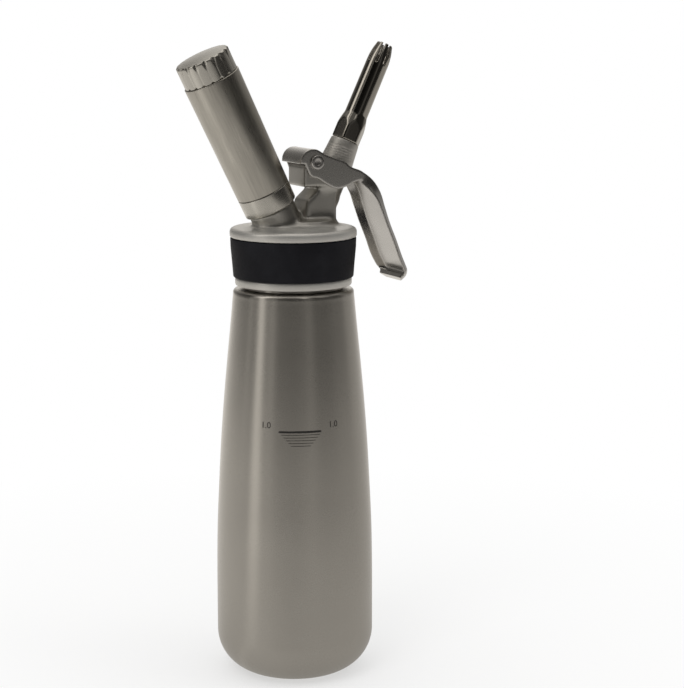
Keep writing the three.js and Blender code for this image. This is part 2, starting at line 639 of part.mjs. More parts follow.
function holderTubeGeometry() {
  const bottom = HOLDER_BOTTOM + BASE_RING_HEIGHT + SEAT_GAP;
  const studBore = STUD_RADIUS + HOLDER_THREAD_DEPTH + RUN_GAP;
  const studRoomTop = Math.max(bottom, STUD_TOP) + SEAT_GAP;
  const top = CAP_BOTTOM - SEAT_GAP;
  const plugBore = CAP_RADIUS - CAP_PLUG_INSET + SEAT_GAP;
  const plugFloor = CAP_BOTTOM - CAP_PLUG_LENGTH - SEAT_GAP;
  return turned([
    [studBore, bottom],
    [holderRadiusAt(bottom), bottom],
    [HOLDER_TOP_RADIUS, top - HOLDER_EDGE],
    [HOLDER_TOP_RADIUS - HOLDER_EDGE, top],
    [plugBore, top],
    [plugBore, plugFloor],
    [HOLDER_BORE_RADIUS, plugFloor],
    [HOLDER_BORE_RADIUS, studRoomTop + studBore - HOLDER_BORE_RADIUS],
    [studBore, studRoomTop],
  ], TUBE_STEPS);
}

function holderCapGeometry() {
  const plugRadius = CAP_RADIUS - CAP_PLUG_INSET;
  const plugBottom = CAP_BOTTOM - CAP_PLUG_LENGTH;
  const stopRadius = HOLDER_BORE_RADIUS - SEAT_GAP;
  let cap = solidOf(turned([
    [0, CHARGER_TOP + SEAT_GAP],
    [stopRadius, CHARGER_TOP + SEAT_GAP],
    [stopRadius, plugBottom],
    [plugRadius, plugBottom],
    [plugRadius, CAP_BOTTOM],
    [CAP_RADIUS, CAP_BOTTOM],
    ...arc(CAP_RADIUS - CAP_ROUND, HOLDER_TOP - CAP_ROUND, CAP_ROUND, 0, 0.25, 2),
    [0, HOLDER_TOP + CAP_CROWN],
  ], 2 * CAP_FLUTES));
  const fluteAxis = CAP_RADIUS + FLUTE_RADIUS - FLUTE_DEPTH;
  for (let i = 0; i < CAP_FLUTES; i += 1) {
    const angle = (2 * Math.PI * (i + 0.5)) / CAP_FLUTES;
    const flute = rod(FLUTE_RADIUS, CAP_BOTTOM - SEAT_GAP, HOLDER_TOP + CUT_OVERRUN, 8);
    flute.translate(fluteAxis * Math.cos(angle), fluteAxis * Math.sin(angle), 0);
    cap = cap.subtract(solidOf(flute));
  }
  return geometryOf(cap);
}

// Dispensing valve parts, in the nozzle's own leaning frame
function stemGeometry() {
  const waistTop = VALVE_HEAD_TOP + STEM_WAIST_LENGTH;
  const boreFloor = VALVE_HEAD_TOP + PORT_RADIUS;
  const grooveRadius = STEM_RADIUS - RING_GROOVE_DEPTH;
  const grooveHalf = RING_SEAL_WIRE_RADIUS + SEAT_GAP;
  const body = solidOf(turned([
    [0, VALVE_HEAD_TOP - VALVE_HEAD_HEIGHT],
    [VALVE_HEAD_RADIUS, VALVE_HEAD_TOP - VALVE_HEAD_HEIGHT],
    [VALVE_HEAD_RADIUS, VALVE_HEAD_TOP],
    [STEM_WAIST_RADIUS, VALVE_HEAD_TOP],
    [STEM_WAIST_RADIUS, waistTop],
    [STEM_RADIUS, waistTop + STEM_RADIUS - STEM_WAIST_RADIUS],
    [STEM_RADIUS, RING_SEAL_MIDDLE - grooveHalf],
    [grooveRadius, RING_SEAL_MIDDLE - grooveHalf],
    [grooveRadius, RING_SEAL_MIDDLE + grooveHalf],
    [STEM_RADIUS, RING_SEAL_MIDDLE + grooveHalf],
    [STEM_RADIUS, COLLAR_BOTTOM],
    [STEM_COLLAR_RADIUS, COLLAR_BOTTOM],
    [STEM_COLLAR_RADIUS, COLLAR_TOP],
    [STEM_RADIUS, COLLAR_TOP],
    [STEM_RADIUS, STEM_TOP],
    [STEM_BORE_RADIUS, STEM_TOP],
    [STEM_BORE_RADIUS, boreFloor],
    [0, boreFloor],
  ], SMALL_STEPS));
  const port = crossRod(PORT_RADIUS, -STEM_RADIUS, STEM_RADIUS, 0, boreFloor + 2 * PORT_RADIUS, 8);
  return geometryOf(body.subtract(solidOf(port)));
}

function valveSealGeometry() {
  return ring(STEM_WAIST_RADIUS + SEAT_GAP, VALVE_HEAD_RADIUS,
    VALVE_SEAL_TOP - VALVE_SEAL_THICKNESS, VALVE_SEAL_TOP, SMALL_STEPS);
}

function stemRingGeometry() {
  const middle = STEM_RADIUS - RING_GROOVE_DEPTH + SEAT_GAP + RING_SEAL_WIRE_RADIUS;
  const outline = arc(middle, RING_SEAL_MIDDLE, RING_SEAL_WIRE_RADIUS, 0, 0.875, 7);
  return turned(outline, SMALL_STEPS);
}

function glandNutGeometry() {
  const nut = solidOf(ring(STEM_RADIUS + RUN_GAP, CHAMBER_RADIUS - SEAT_GAP, GLAND_BOTTOM,
    NOZZLE_BOSS_TOP, TUBE_STEPS));
  const slot = new THREE.BoxGeometry(3 * CHAMBER_RADIUS, GLAND_KEY_SLOT_WIDTH, GLAND_NUT_HEIGHT);
  return geometryOf(nut.subtract(solidOf(slot.translate(0, 0, NOZZLE_BOSS_TOP))));
}

// The valve spring: a wire with a round section, wound from the floor up to the collar.
function valveSpringGeometry() {
  const bottom = CHAMBER_FLOOR + SEAT_GAP + VALVE_SPRING_WIRE_RADIUS;
  const rise = COLLAR_BOTTOM - SEAT_GAP - VALVE_SPRING_WIRE_RADIUS - bottom;
  const coilRadius = (STEM_RADIUS + CHAMBER_RADIUS) / 2;
  const steps = SPRING_STEPS_PER_TURN * VALVE_SPRING_TURNS;
  const rings = [];
  for (let i = 0; i <= steps; i += 1) {
    const angle = (2 * Math.PI * i) / SPRING_STEPS_PER_TURN;
    const height = bottom + (rise * i) / steps;
    const section = arc(coilRadius, height, VALVE_SPRING_WIRE_RADIUS, 0,
      1 - 1 / SPRING_SIDES, SPRING_SIDES - 1);
    rings.push(section.map(([r, z]) => [r * Math.cos(angle), r * Math.sin(angle), z]));
  }
  return skinned(rings);
}

// A closed mesh through a row of rings of [x, y, z] points, with its two ends filled.
function skinned(rings) {
  const sides = rings[0].length;
  const last = (rings.length - 1) * sides;
  const index = [];
  for (let i = 0; i < last; i += sides) {
    for (let j = 0; j < sides; j += 1) {
      const k = (j + 1) % sides;
      index.push(i + j, i + k, i + sides + j, i + k, i + sides + k, i + sides + j);
    }
  }
  const ends = endFaces(rings[0]);
  ends.forEach(([a, b, c]) => index.push(a, c, b, last + a, last + b, last + c));
  return closedGeometry(rings.flat(2), index);
}

// The triangles that fill a flat ring, facing along the row from the ring's own winding.
function endFaces(points) {
  const corners = points.map((point) => new THREE.Vector3(...point));
  const normal = new THREE.Vector3();
  corners.forEach((corner, i) => {
    normal.add(corner.clone().cross(corners[(i + 1) % corners.length]));
  });
  const across = corners[1].clone().sub(corners[0]).normalize();
  const up = normal.normalize().clone().cross(across);
  const outline = corners.map((corner) => new THREE.Vector2(corner.dot(across), corner.dot(up)));
  return THREE.ShapeUtils.triangulateShape(outline, []);
}

// A closed mesh from bare positions, with its faces turned outwards.
function closedGeometry(positions, index) {
  const geometry = new THREE.BufferGeometry();
  geometry.setAttribute('position', new THREE.Float32BufferAttribute(positions, 3));
  let volume = 0;
  const corner = (i) => new THREE.Vector3().fromArray(positions, 3 * i);
  for (let i = 0; i < index.length; i += 3) {
    volume += corner(index[i]).dot(corner(index[i + 1]).cross(corner(index[i + 2])));
  }
  geometry.setIndex(volume > 0 ? index : [...index].reverse());
  return geometry;
}

// Nozzle adaptor and tip
function adaptorGeometry() {
  const flangeTop = ADAPTOR_BOTTOM + FLANGE_HEIGHT;
  const bodyBottom = flangeTop + FORK_GROOVE_HEIGHT;
  const stemBore = STEM_RADIUS + SEAT_GAP;
  return turned([
    [stemBore, ADAPTOR_BOTTOM],
    [FLANGE_RADIUS, ADAPTOR_BOTTOM],
    [FLANGE_RADIUS, flangeTop],
    [FORK_GROOVE_RADIUS, flangeTop],
    [FORK_GROOVE_RADIUS, bodyBottom],
    [ADAPTOR_BOTTOM_RADIUS - ADAPTOR_EDGE, bodyBottom],
    [ADAPTOR_BOTTOM_RADIUS, bodyBottom + ADAPTOR_EDGE],
    [ADAPTOR_TOP_RADIUS, ADAPTOR_TOP - ADAPTOR_EDGE],
    [ADAPTOR_TOP_RADIUS - ADAPTOR_EDGE, ADAPTOR_TOP],
    [SPIGOT_RADIUS, ADAPTOR_TOP],
    ...ridges(SPIGOT_RADIUS, SPIGOT_THREAD_DEPTH, SPIGOT_THREAD_CREST, SPIGOT_THREAD_PITCH,
      SPIGOT_THREAD_RIDGES, ADAPTOR_TOP + SPIGOT_THREAD_PITCH),
    [SPIGOT_RADIUS, SPIGOT_TOP],
    [ADAPTOR_THROAT_RADIUS, SPIGOT_TOP],
    [ADAPTOR_THROAT_RADIUS, STEM_TOP + SEAT_GAP],
    [stemBore, STEM_TOP + SEAT_GAP],
  ], TUBE_STEPS);
}

function tipSealGeometry() {
  const bottom = SPIGOT_TOP + SEAT_GAP;
  return ring(ADAPTOR_THROAT_RADIUS + SEAT_GAP, SPIGOT_RADIUS, bottom,
    bottom + TIP_SEAL_THICKNESS, SMALL_STEPS);
}

function tipGeometry() {
  const collarTop = TIP_BOTTOM + TIP_COLLAR_HEIGHT;
  const coneTop = collarTop + TIP_CONE_HEIGHT;
  const end = TIP_BOTTOM + TIP_LENGTH;
  const closing = end - TIP_CLOSING_LENGTH;
  const bore = SPIGOT_RADIUS + SPIGOT_THREAD_DEPTH + SEAT_GAP;
  const body = solidOf(turned([
    [bore, TIP_BOTTOM],
    [TIP_COLLAR_RADIUS, TIP_BOTTOM],
    [TIP_COLLAR_RADIUS, collarTop],
    [TIP_TUBE_RADIUS, coneTop],
    [TIP_END_RADIUS, closing],
    [TIP_MOUTH_RADIUS, end],
    [TIP_MOUTH_RADIUS - TIP_WALL, end],
    [TIP_END_RADIUS - TIP_WALL, closing],
    [TIP_TUBE_RADIUS - TIP_WALL, coneTop],
    [ADAPTOR_THROAT_RADIUS + TIP_WALL, TIP_SHELF],
    [bore, TIP_SHELF],
    ...ridges(bore, -SPIGOT_THREAD_DEPTH, SPIGOT_THREAD_CREST, SPIGOT_THREAD_PITCH,
      SPIGOT_THREAD_RIDGES, TIP_BOTTOM + SPIGOT_THREAD_PITCH / 2).reverse(),
  ], TUBE_STEPS));
  const corner = TIP_COLLAR_FLATS_RADIUS / Math.cos(Math.PI / TIP_COLLAR_SIDES);
  const hexagon = rod(corner, TIP_BOTTOM - CUT_OVERRUN, end + CUT_OVERRUN, TIP_COLLAR_SIDES);
  let tip = body.intersect(solidOf(hexagon.rotateZ(TIP_COLLAR_TURN)));
  for (let i = 0; i < TIP_SLOTS / 2; i += 1) {
    const slot = new THREE.BoxGeometry(4 * TIP_END_RADIUS, TIP_SLOT_WIDTH,
      TIP_SLOT_LENGTH + CUT_OVERRUN);
    slot.translate(0, 0, end - TIP_SLOT_LENGTH / 2 + CUT_OVERRUN / 2);
    slot.rotateZ((2 * Math.PI * (i + 0.5)) / TIP_SLOTS);
    tip = tip.subtract(solidOf(slot));
  }
  return geometryOf(tip);
}

// Lever: two ears, a rear web and a tray-shaped handle from one sheet
function leverPoint([x, z]) {
  return [PIN_X + x * LEVER_LENGTH, PIN_HEIGHT + z * LEVER_LENGTH];
}

function trayGeometry() {
  const path = TRAY_PATH_SHARES.map((share) => new THREE.Vector2(...leverPoint(share)));
  return skinned(path.map((point, i) => {
    const before = path[Math.max(i - 1, 0)];
    const after = path[Math.min(i + 1, path.length - 1)];
    const along = after.clone().sub(before).normalize();
    return traySection(i).map(([across, depth]) => (
      [point.x + along.y * depth, across, point.y - along.x * depth]
    ));
  }));
}

// One closed section of the tray as [across, depth] points: floor and two splayed walls.
function traySection(i) {
  const half = (TRAY_WIDTH_SHARES[i] * LEVER_WIDTH) / 2;
  const depth = TRAY_DEPTH_SHARES[i] * LEVER_WALL_DEPTH;
  const splay = TRAY_SPLAY_SHARES[i] * LEVER_SPLAY;
  const out = new THREE.Vector2(Math.sin(splay), Math.cos(splay));
  const thick = new THREE.Vector2(-out.y, out.x).multiplyScalar(LEVER_SHEET);
  const lip = new THREE.Vector2(half, 0).addScaledVector(out, depth);
  const reach = (LEVER_SHEET - thick.y) / out.y;
  const innerCorner = new THREE.Vector2(half, 0).add(thick).addScaledVector(out, reach);
  const right = [[half, 0], [lip.x, lip.y], [lip.x + thick.x, lip.y + thick.y],
    [innerCorner.x, innerCorner.y]];
  const left = right.map(([y, z]) => [-y, z]).reverse();
  return [...right, ...left];
}

function leverGeometry() {
  const inside = LEVER_WIDTH - 2 * LEVER_SHEET;
  const outline = [...EAR_TOP_SHARES, ...EAR_BOTTOM_SHARES].map(leverPoint);
  const ears = solidOf(slab(outline, LEVER_WIDTH)).subtract(solidOf(slab(outline, inside)));
  const webTop = EAR_TOP_SHARES.slice(0, WEB_POINTS).map(leverPoint);
  const web = solidOf(slab([...webTop, ...insetWeb(webTop)], LEVER_WIDTH));
  let lever = ears.add(web).add(solidOf(trayGeometry()));
  const lugTip = FORK_GROOVE_RADIUS + 2 * SEAT_GAP;
  const lugRoot = (inside + LEVER_SHEET) / 2;
  [[-lugRoot, -lugTip], [lugTip, lugRoot]].forEach(([from, to]) => {
    lever = lever.add(solidOf(crossRod(LUG_RADIUS, from, to, LUG_X, LUG_HEIGHT, SMALL_STEPS)));
  });
  const pinHole = crossRod(PIN_RADIUS + SEAT_GAP, -LEVER_WIDTH, LEVER_WIDTH, PIN_X, PIN_HEIGHT,
    SMALL_STEPS);
  return geometryOf(lever.subtract(solidOf(pinHole)));
}

// The web's inner side, one sheet in from its outer points towards the pin.
function insetWeb(points) {
  const pin = new THREE.Vector2(PIN_X, PIN_HEIGHT);
  return points.map(([x, z]) => {
    const point = new THREE.Vector2(x, z);
    const inward = pin.clone().sub(point).normalize();
    point.addScaledVector(inward, LEVER_SHEET);
    return [point.x, point.y];
  }).reverse();
}

// Pivot pin with a head at the near end, and a clip at the far end
function pivotPinGeometry() {
  const half = LEVER_WIDTH / 2 + SEAT_GAP;
  const end = half + PIN_HEAD_HEIGHT;
  const pin = solidOf(crossRod(PIN_RADIUS, -end, end, PIN_X, PIN_HEIGHT, SMALL_STEPS));
  const head = solidOf(crossRod(PIN_HEAD_RADIUS, -end, -half, PIN_X, PIN_HEIGHT, SMALL_STEPS));
  const dimple = solidOf(crossRod(PIN_DIMPLE_RADIUS, -end - CUT_OVERRUN, -end + PIN_DIMPLE_DEPTH,
    PIN_X, PIN_HEIGHT, SMALL_STEPS));
  return geometryOf(pin.add(head).subtract(dimple));
}

function pinClipGeometry() {
  const half = LEVER_WIDTH / 2 + SEAT_GAP;
  const clip = ring(PIN_RADIUS + SEAT_GAP, PIN_HEAD_RADIUS, half, half + PIN_HEAD_HEIGHT,
    SMALL_STEPS);
  return clip.rotateX(-Math.PI / 2).translate(PIN_X, 0, PIN_HEIGHT);
}

// The scene: an upright group and two leaning groups
const dispenser = new THREE.Group();
const inletGroup = new THREE.Group();
inletGroup.position.set(0, 0, INLET_CROSSING_HEIGHT);
inletGroup.rotation.y = -INLET_LEAN;
const nozzleGroup = new THREE.Group();
nozzleGroup.position.set(0, 0, NOZZLE_CROSSING_HEIGHT);
nozzleGroup.rotation.y = NOZZLE_LEAN;
dispenser.add(inletGroup, nozzleGroup);

function place(group, name, geometry, meshMaterial) {
  const mesh = new THREE.Mesh(geometry, meshMaterial);
  mesh.name = name;
  group.add(mesh);
}

place(dispenser, 'bottle', bottleGeometry(), satinSteel);
place(dispenser, 'bottle_neck', bottleNeckGeometry(), satinSteel);
place(dispenser, 'head', headGeometry(), castMetal);
place(dispenser, 'grip_band', bandGeometry(), blackSilicone);
place(dispenser, 'head_gasket', gasketGeometry(), redSeal);
place(dispenser, 'lever', leverGeometry(), castMetal);
place(dispenser, 'pivot_pin', pivotPinGeometry(), brightSteel);
place(dispenser, 'pin_clip', pinClipGeometry(), brightSteel);

place(inletGroup, 'inlet_plug', inletPlugGeometry(), brass);
place(inletGroup, 'check_sleeve', checkSleeveGeometry(), redSeal);
place(inletGroup, 'piercing_pin', piercingPinGeometry(), brightSteel);
place(inletGroup, 'charger_seal', chargerSealGeometry(), whiteSeal);
place(inletGroup, 'gas_charger', chargerGeometry(), chargerSteel);
place(inletGroup, 'holder_base_ring', holderBaseGeometry(), satinSteel);
place(inletGroup, 'holder_tube', holderTubeGeometry(), satinSteel);
place(inletGroup, 'holder_cap', holderCapGeometry(), satinSteel);

place(nozzleGroup, 'valve_stem', stemGeometry(), brightSteel);
place(nozzleGroup, 'valve_seal', valveSealGeometry(), redSeal);
place(nozzleGroup, 'stem_ring', stemRingGeometry(), redSeal);
place(nozzleGroup, 'gland_nut', glandNutGeometry(), brass);
place(nozzleGroup, 'valve_spring', valveSpringGeometry(), springSteel);
place(nozzleGroup, 'nozzle_adaptor', adaptorGeometry(), satinSteel);
place(nozzleGroup, 'tip_seal', tipSealGeometry(), whiteSeal);
place(nozzleGroup, 'nozzle_tip', tipGeometry(), chrome);

export default dispenser;
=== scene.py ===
from collections import namedtuple
from math import acos, cos, degrees, pi, radians, sin, sqrt, tan

import bmesh
import bpy
import numpy as np
from mathutils import Matrix, Vector


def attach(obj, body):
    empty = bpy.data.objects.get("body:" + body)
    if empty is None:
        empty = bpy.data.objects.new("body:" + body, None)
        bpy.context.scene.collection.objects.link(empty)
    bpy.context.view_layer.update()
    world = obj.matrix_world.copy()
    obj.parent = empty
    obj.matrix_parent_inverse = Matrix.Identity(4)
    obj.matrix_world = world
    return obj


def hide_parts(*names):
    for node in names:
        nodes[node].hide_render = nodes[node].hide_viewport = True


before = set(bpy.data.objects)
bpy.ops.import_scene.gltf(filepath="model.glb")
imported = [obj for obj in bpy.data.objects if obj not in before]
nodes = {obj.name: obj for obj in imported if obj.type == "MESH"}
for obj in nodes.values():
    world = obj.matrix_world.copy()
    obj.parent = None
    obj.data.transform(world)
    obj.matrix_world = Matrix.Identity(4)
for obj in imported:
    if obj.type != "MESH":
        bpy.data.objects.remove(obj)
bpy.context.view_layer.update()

SCENE = bpy.context.scene
MM = 0.001

# Sizes are in millimetres, the same as the CAD's. Here are fits, and roundings from a crease to a soft edge.
SEAT_GAP, RUN_GAP = 0.3, 0.45
CREASE, FINE, SMALL, MILD, EDGE, SOFT = 0.1, 0.2, 0.3, 0.4, 0.5, 0.7

# Threads are rings of ridges
Thread = namedtuple("Thread", "depth crest pitch")
NECK_THREAD = Thread(depth=1.2, crest=1, pitch=4.4)
HOLDER_THREAD = Thread(depth=0.8, crest=0.6, pitch=2.8)
SPIGOT_THREAD = Thread(depth=0.5, crest=0.4, pitch=2.6)

# Bottle, whose side is given as shares of its height and of its radius
BODY_RADIUS, BODY_HEIGHT, BODY_WALL = 46.2, 229.3, 1.3
BASE_CORNER, SHOULDER_CORNER = 24.5, 2.6
NECK_RADIUS = 28.5
NECK_RIDGES, NECK_THREAD_START = 2, BODY_HEIGHT + 7
NECK_TOP = BODY_HEIGHT + 26.7
WALL_SHARES = [
    (0.174, 1.0), (0.283, 0.998), (0.392, 0.987), (0.497, 0.962), (0.602, 0.933),
    (0.706, 0.894), (0.811, 0.846), (0.916, 0.794), (0.985, 0.762),
]
SHOULDER_RADIUS = WALL_SHARES[-1][1] * BODY_RADIUS - SHOULDER_CORNER

# Angles round the bottle are in degrees, to the right of the side that the photo shows
PHOTO_SIDE = -115

# Head: skirt, grip groove, band and disc
GROOVE_RADIUS = 32.9
BAND_BOTTOM_RADIUS, BAND_TOP_RADIUS = 34.9, 36.5
DISC_RADIUS, DISC_CROWN = 36.8, 1
CEILING = NECK_TOP + 2 + 2 * SEAT_GAP
SKIRT_BORE = NECK_RADIUS + NECK_THREAD.depth + 0.7
SKIRT_BOTTOM = BODY_HEIGHT + 2
GROOVE_BOTTOM = SKIRT_BOTTOM + 4.4
GROOVE_TOP = GROOVE_BOTTOM + 22.9 + 2 * SEAT_GAP
DISC_TOP = GROOVE_TOP + 5.4

# Charger inlet, along its own axis from where it crosses the bottle's
INLET_LEAN, INLET_CROSSING = 26, DISC_TOP - 17
INLET_BOSS_TOP, INLET_BOSS_RADIUS = 32, 13.6
STUD_RADIUS, STUD_TOP = 11, INLET_BOSS_TOP + 12.3
STUD_THREAD_START = INLET_BOSS_TOP + HOLDER_THREAD.pitch

# Dispensing valve and nozzle, along their own axis from where it crosses the bottle's
NOZZLE_LEAN, NOZZLE_CROSSING = 25.1, DISC_TOP - 23.2
SEAT_DISTANCE = 16
STEM_RADIUS, CHAMBER_RADIUS, CHAMBER_FLOOR = 4.3, 7, SEAT_DISTANCE + 15.6
NOZZLE_BOSS_RADIUS, NOZZLE_BOSS_TOP = 10, CHAMBER_FLOOR + 24
NOZZLE_BOSS_TOP_RADIUS, NOZZLE_BOSS_STEP = 9.5, NOZZLE_BOSS_TOP - 8.7
BOSS_FLOOR = DISC_TOP - 2.7

# Tower: a wide yoke with the pin's eye on a narrower web. Shares are of the disc's radius and of the
# pin's height over the disc, and roundings are in millimetres.
PIN_X, PIN_HEIGHT = 8.997, 302.4
YOKE_WIDTH, EYE_RADIUS = 22.6, 5.4
YOKE_REAR_SHARES = [(0.06, 0.62, 0.8), (0.06, 0.92, 1)]
YOKE_FRONT_SHARES = [(0.696, 0.683, 1.5), (0.69, 0.62, 0.8)]
WEB_WIDTH = 19.8
WEB_SHARES = [
    (0.112, -0.06, 0), (0.112, 0.275, 4), (0.13, 0.415, 2), (0.325, 0.577, 1.5), (0.325, 0.68, 0),
    (0.64, 0.68, 0), (0.64, -0.06, 0),
]
FOOT_RADIUS, FOOT_WAIST_RADIUS, FOOT_HEIGHT = 28, 20, 4.2

# Lever, whose outlines are shares of its length from the pin
LEVER_LENGTH, LEVER_WIDTH, LEVER_SHEET = 90, 26.4, 1.5
LIP_DEPTH, LIP_SPLAY = 7.5, 42
EAR_TOP_SHARES = [
    (-0.113, -0.009), (-0.11, 0.023), (-0.091, 0.058), (-0.058, 0.08), (-0.008, 0.0835),
    (0.06, 0.049), (0.132, 0.023), (0.204, -0.004), (0.241, -0.034), (0.314, -0.063), (0.37, -0.099),
]
EAR_BOTTOM_SHARES = [
    (0.385, -0.158), (0.351, -0.131), (0.278, -0.134), (0.219, -0.16), (0.143, -0.174),
    (0.06, -0.139), (0.007, -0.106), (-0.038, -0.092), (-0.069, -0.04), (-0.08, -0.012),
]
TRAY_PATH_SHARES = [
    (0.35, -0.087), (0.37, -0.099), (0.416, -0.142), (0.457, -0.207), (0.491, -0.306), (0.526, -0.406),
    (0.576, -0.524), (0.624, -0.646), (0.647, -0.692), (0.664, -0.732), (0.66, -0.77), (0.632, -0.804),
]
TRAY_WIDTH_SHARES = [1, 1, 1, 0.99, 0.985, 0.985, 0.985, 0.985, 0.955, 0.905, 0.815, 0.69]
TRAY_DEPTH_SHARES = [0.83, 0.86, 0.89, 0.95, 0.99, 1, 1, 1, 0.98, 0.94, 0.86, 0.7]
TRAY_SPLAY_SHARES = [0, 0.12, 0.45, 0.9, 1.2, 1.3, 1.3, 1.3, 1.3, 1.3, 1.3, 1.3]

# Pivot pin and its clip, with half the length that the lever's width asks for
PIN_RADIUS, PIN_HEAD_RADIUS = 2, 4
PIN_SEAT = LEVER_WIDTH / 2 + SEAT_GAP
PIN_END = PIN_SEAT + 1.2
PIN_BORE = PIN_RADIUS + SEAT_GAP
CLIP_SPAN = (35, 325)

# Charger holder, along the inlet's axis
HOLDER_BOTTOM, HOLDER_LENGTH = INLET_BOSS_TOP + SEAT_GAP, 95.2
HOLDER_BASE_RADIUS, HOLDER_TOP_RADIUS, HOLDER_BORE_RADIUS, HOLDER_EDGE = 15.4, 16.4, 10.2, 0.35
BASE_RING_TOP = HOLDER_BOTTOM + 11
STUD_ROOM = STUD_RADIUS + HOLDER_THREAD.depth + RUN_GAP
TUBE_BOTTOM = BASE_RING_TOP + SEAT_GAP
CAP_RADIUS, CAP_BOTTOM = 15.8, HOLDER_BOTTOM + HOLDER_LENGTH - 12.9
CAP_PLUG_RADIUS, CAP_PLUG_BOTTOM = CAP_RADIUS - 2.6, CAP_BOTTOM - 6
CAP_CROWN = [(13.0, 13.02), (11.5, 13.3), (9.5, 13.6), (6.0, 13.9), (3.0, 14.06), (0, 14.1)]
CAP_FLUTES, FLUTE_RADIUS, FLUTE_DEPTH = 18, 1.6, 0.1

# Nozzle adaptor
ADAPTOR_BOTTOM = NOZZLE_BOSS_TOP + 3.9
FLANGE_TOP = ADAPTOR_BOTTOM + 1.9
CONE_BOTTOM, CONE_TOP = FLANGE_TOP + 2.6, ADAPTOR_BOTTOM + 19.4
CONE_BOTTOM_RADIUS, CONE_TOP_RADIUS = 9.8, 8.4
SPIGOT_RADIUS, SPIGOT_RIDGES = 6, 2
SPIGOT_TOP, THROAT_BOTTOM = CONE_TOP + 6.5, CONE_TOP - 5
STEM_SOCKET = STEM_RADIUS + SEAT_GAP

# Nozzle tip
TIP_BOTTOM, TIP_SHELF = CONE_TOP + SEAT_GAP, SPIGOT_TOP + 1.7
TIP_TOP = TIP_BOTTOM + 61.2
COLLAR_RADIUS, COLLAR_FLATS_RADIUS, COLLAR_TURN = 8.7, 7.7, -9
COLLAR_TOP = TIP_BOTTOM + 8.4
TUBE_FOOT, TUBE_FOOT_RADIUS = COLLAR_TOP + 8, 6.8
CROWN_BOTTOM, CROWN_BOTTOM_RADIUS = 128, 6.6
CROWN_POINTS = [(CROWN_BOTTOM_RADIUS, CROWN_BOTTOM), (6.48, 131), (6.12, 134), (5.52, 137), (4.9, 139.2)]
MOUTH_POINTS = [(3.3, 140), (5.0, 134.6, 4), (5.5, 130.4, 4), (5.7, TUBE_FOOT, 2)]
THREAD_ROOM = SPIGOT_RADIUS + SPIGOT_THREAD.depth + SEAT_GAP
SLOTS, SLOT_LENGTH, SLOT_WIDTH = 8, 13, 1.3
SLOT_CUT_LENGTH, SLOT_CUT_HEIGHT = 30, 16

# Steps round a turn, by how large a piece shows
BOTTLE_STEPS, HOLDER_STEPS = 192, 160
BOSS_STEPS, BORE_STEPS = 96, 64


# Curves and outlines

def hermite(points, per):
    """A smooth curve through points with any number of values, in per steps from one to the next."""
    given = np.array(points, float)
    run = np.concatenate([[0], np.cumsum(np.linalg.norm(np.diff(given, axis=0), axis=1))])
    slope = np.gradient(given, run, axis=0)
    out = []
    for i in range(len(given) - 1):
        span = run[i + 1] - run[i]
        for k in range(per):
            u = k / per
            out.append(given[i] * (2 * u**3 - 3 * u**2 + 1) + given[i + 1] * (3 * u**2 - 2 * u**3)
                       + slope[i] * span * (u**3 - 2 * u**2 + u) + slope[i + 1] * span * (u**3 - u**2))
    out.append(given[-1])
    return [tuple(point) for point in out]


def arc(centre_r, centre_z, radius, start, end, steps):
    """Points on an arc, from a start to an end angle in degrees."""
    angles = [radians(start + (end - start) * i / steps) for i in range(steps + 1)]
    return [(centre_r + radius * cos(a), centre_z + radius * sin(a)) for a in angles]


def soft(points, closed=False, steps=4):
    """Rounds the corners that carry a third number, their radius, where their edges leave room for it."""
    straight, edge_share = 0.02, 0.46
    out = []
    for i, point in enumerate(points):
        here = np.array(point[:2], float)
        radius = point[2] if len(point) > 2 else 0
        if radius <= 0 or (not closed and i in (0, len(points) - 1)):
            out.append(tuple(here))
            continue
        before = np.array(points[i - 1][:2], float) - here
        after = np.array(points[(i + 1) % len(points)][:2], float) - here
        length_before, length_after = np.linalg.norm(before), np.linalg.norm(after)
        before, after = before / length_before, after / length_after
        angle = acos(max(-1, min(1, float(before @ after))))
        if angle > pi - straight or angle < straight:
            out.append(tuple(here))
            continue
        cut_back = min(radius / tan(angle / 2), edge_share * length_before, edge_share * length_after)
        real = cut_back * tan(angle / 2)
        centre = here + (before + after) / np.linalg.norm(before + after) * real / sin(angle / 2)
        first, last = here + before * cut_back - centre, here + after * cut_back - centre
        sweep = acos(max(-1, min(1, float(first @ last) / real**2)))
        for k in range(steps + 1):
            u = k / steps
            spoke = (first * sin((1 - u) * sweep) + last * sin(u * sweep)) / sin(sweep)
            out.append(tuple(centre + spoke))
    return out


def ridges(wall, thread, count, start, side=1):
    """Corners of a thread's ridges, which stand out from a wall's radius, or inwards with a side of -1."""
    root_round, crest_round = 0.2, 0.25
    crest_radius = wall + side * thread.depth
    out = []
    for i in range(count):
        middle = start + i * thread.pitch
        crest_low, crest_high = middle - thread.crest / 2, middle + thread.crest / 2
        out += [(wall, crest_low - thread.depth / 2, root_round), (crest_radius, crest_low, crest_round),
                (crest_radius, crest_high, crest_round), (wall, crest_high + thread.depth / 2, root_round)]
    return out


# Meshes

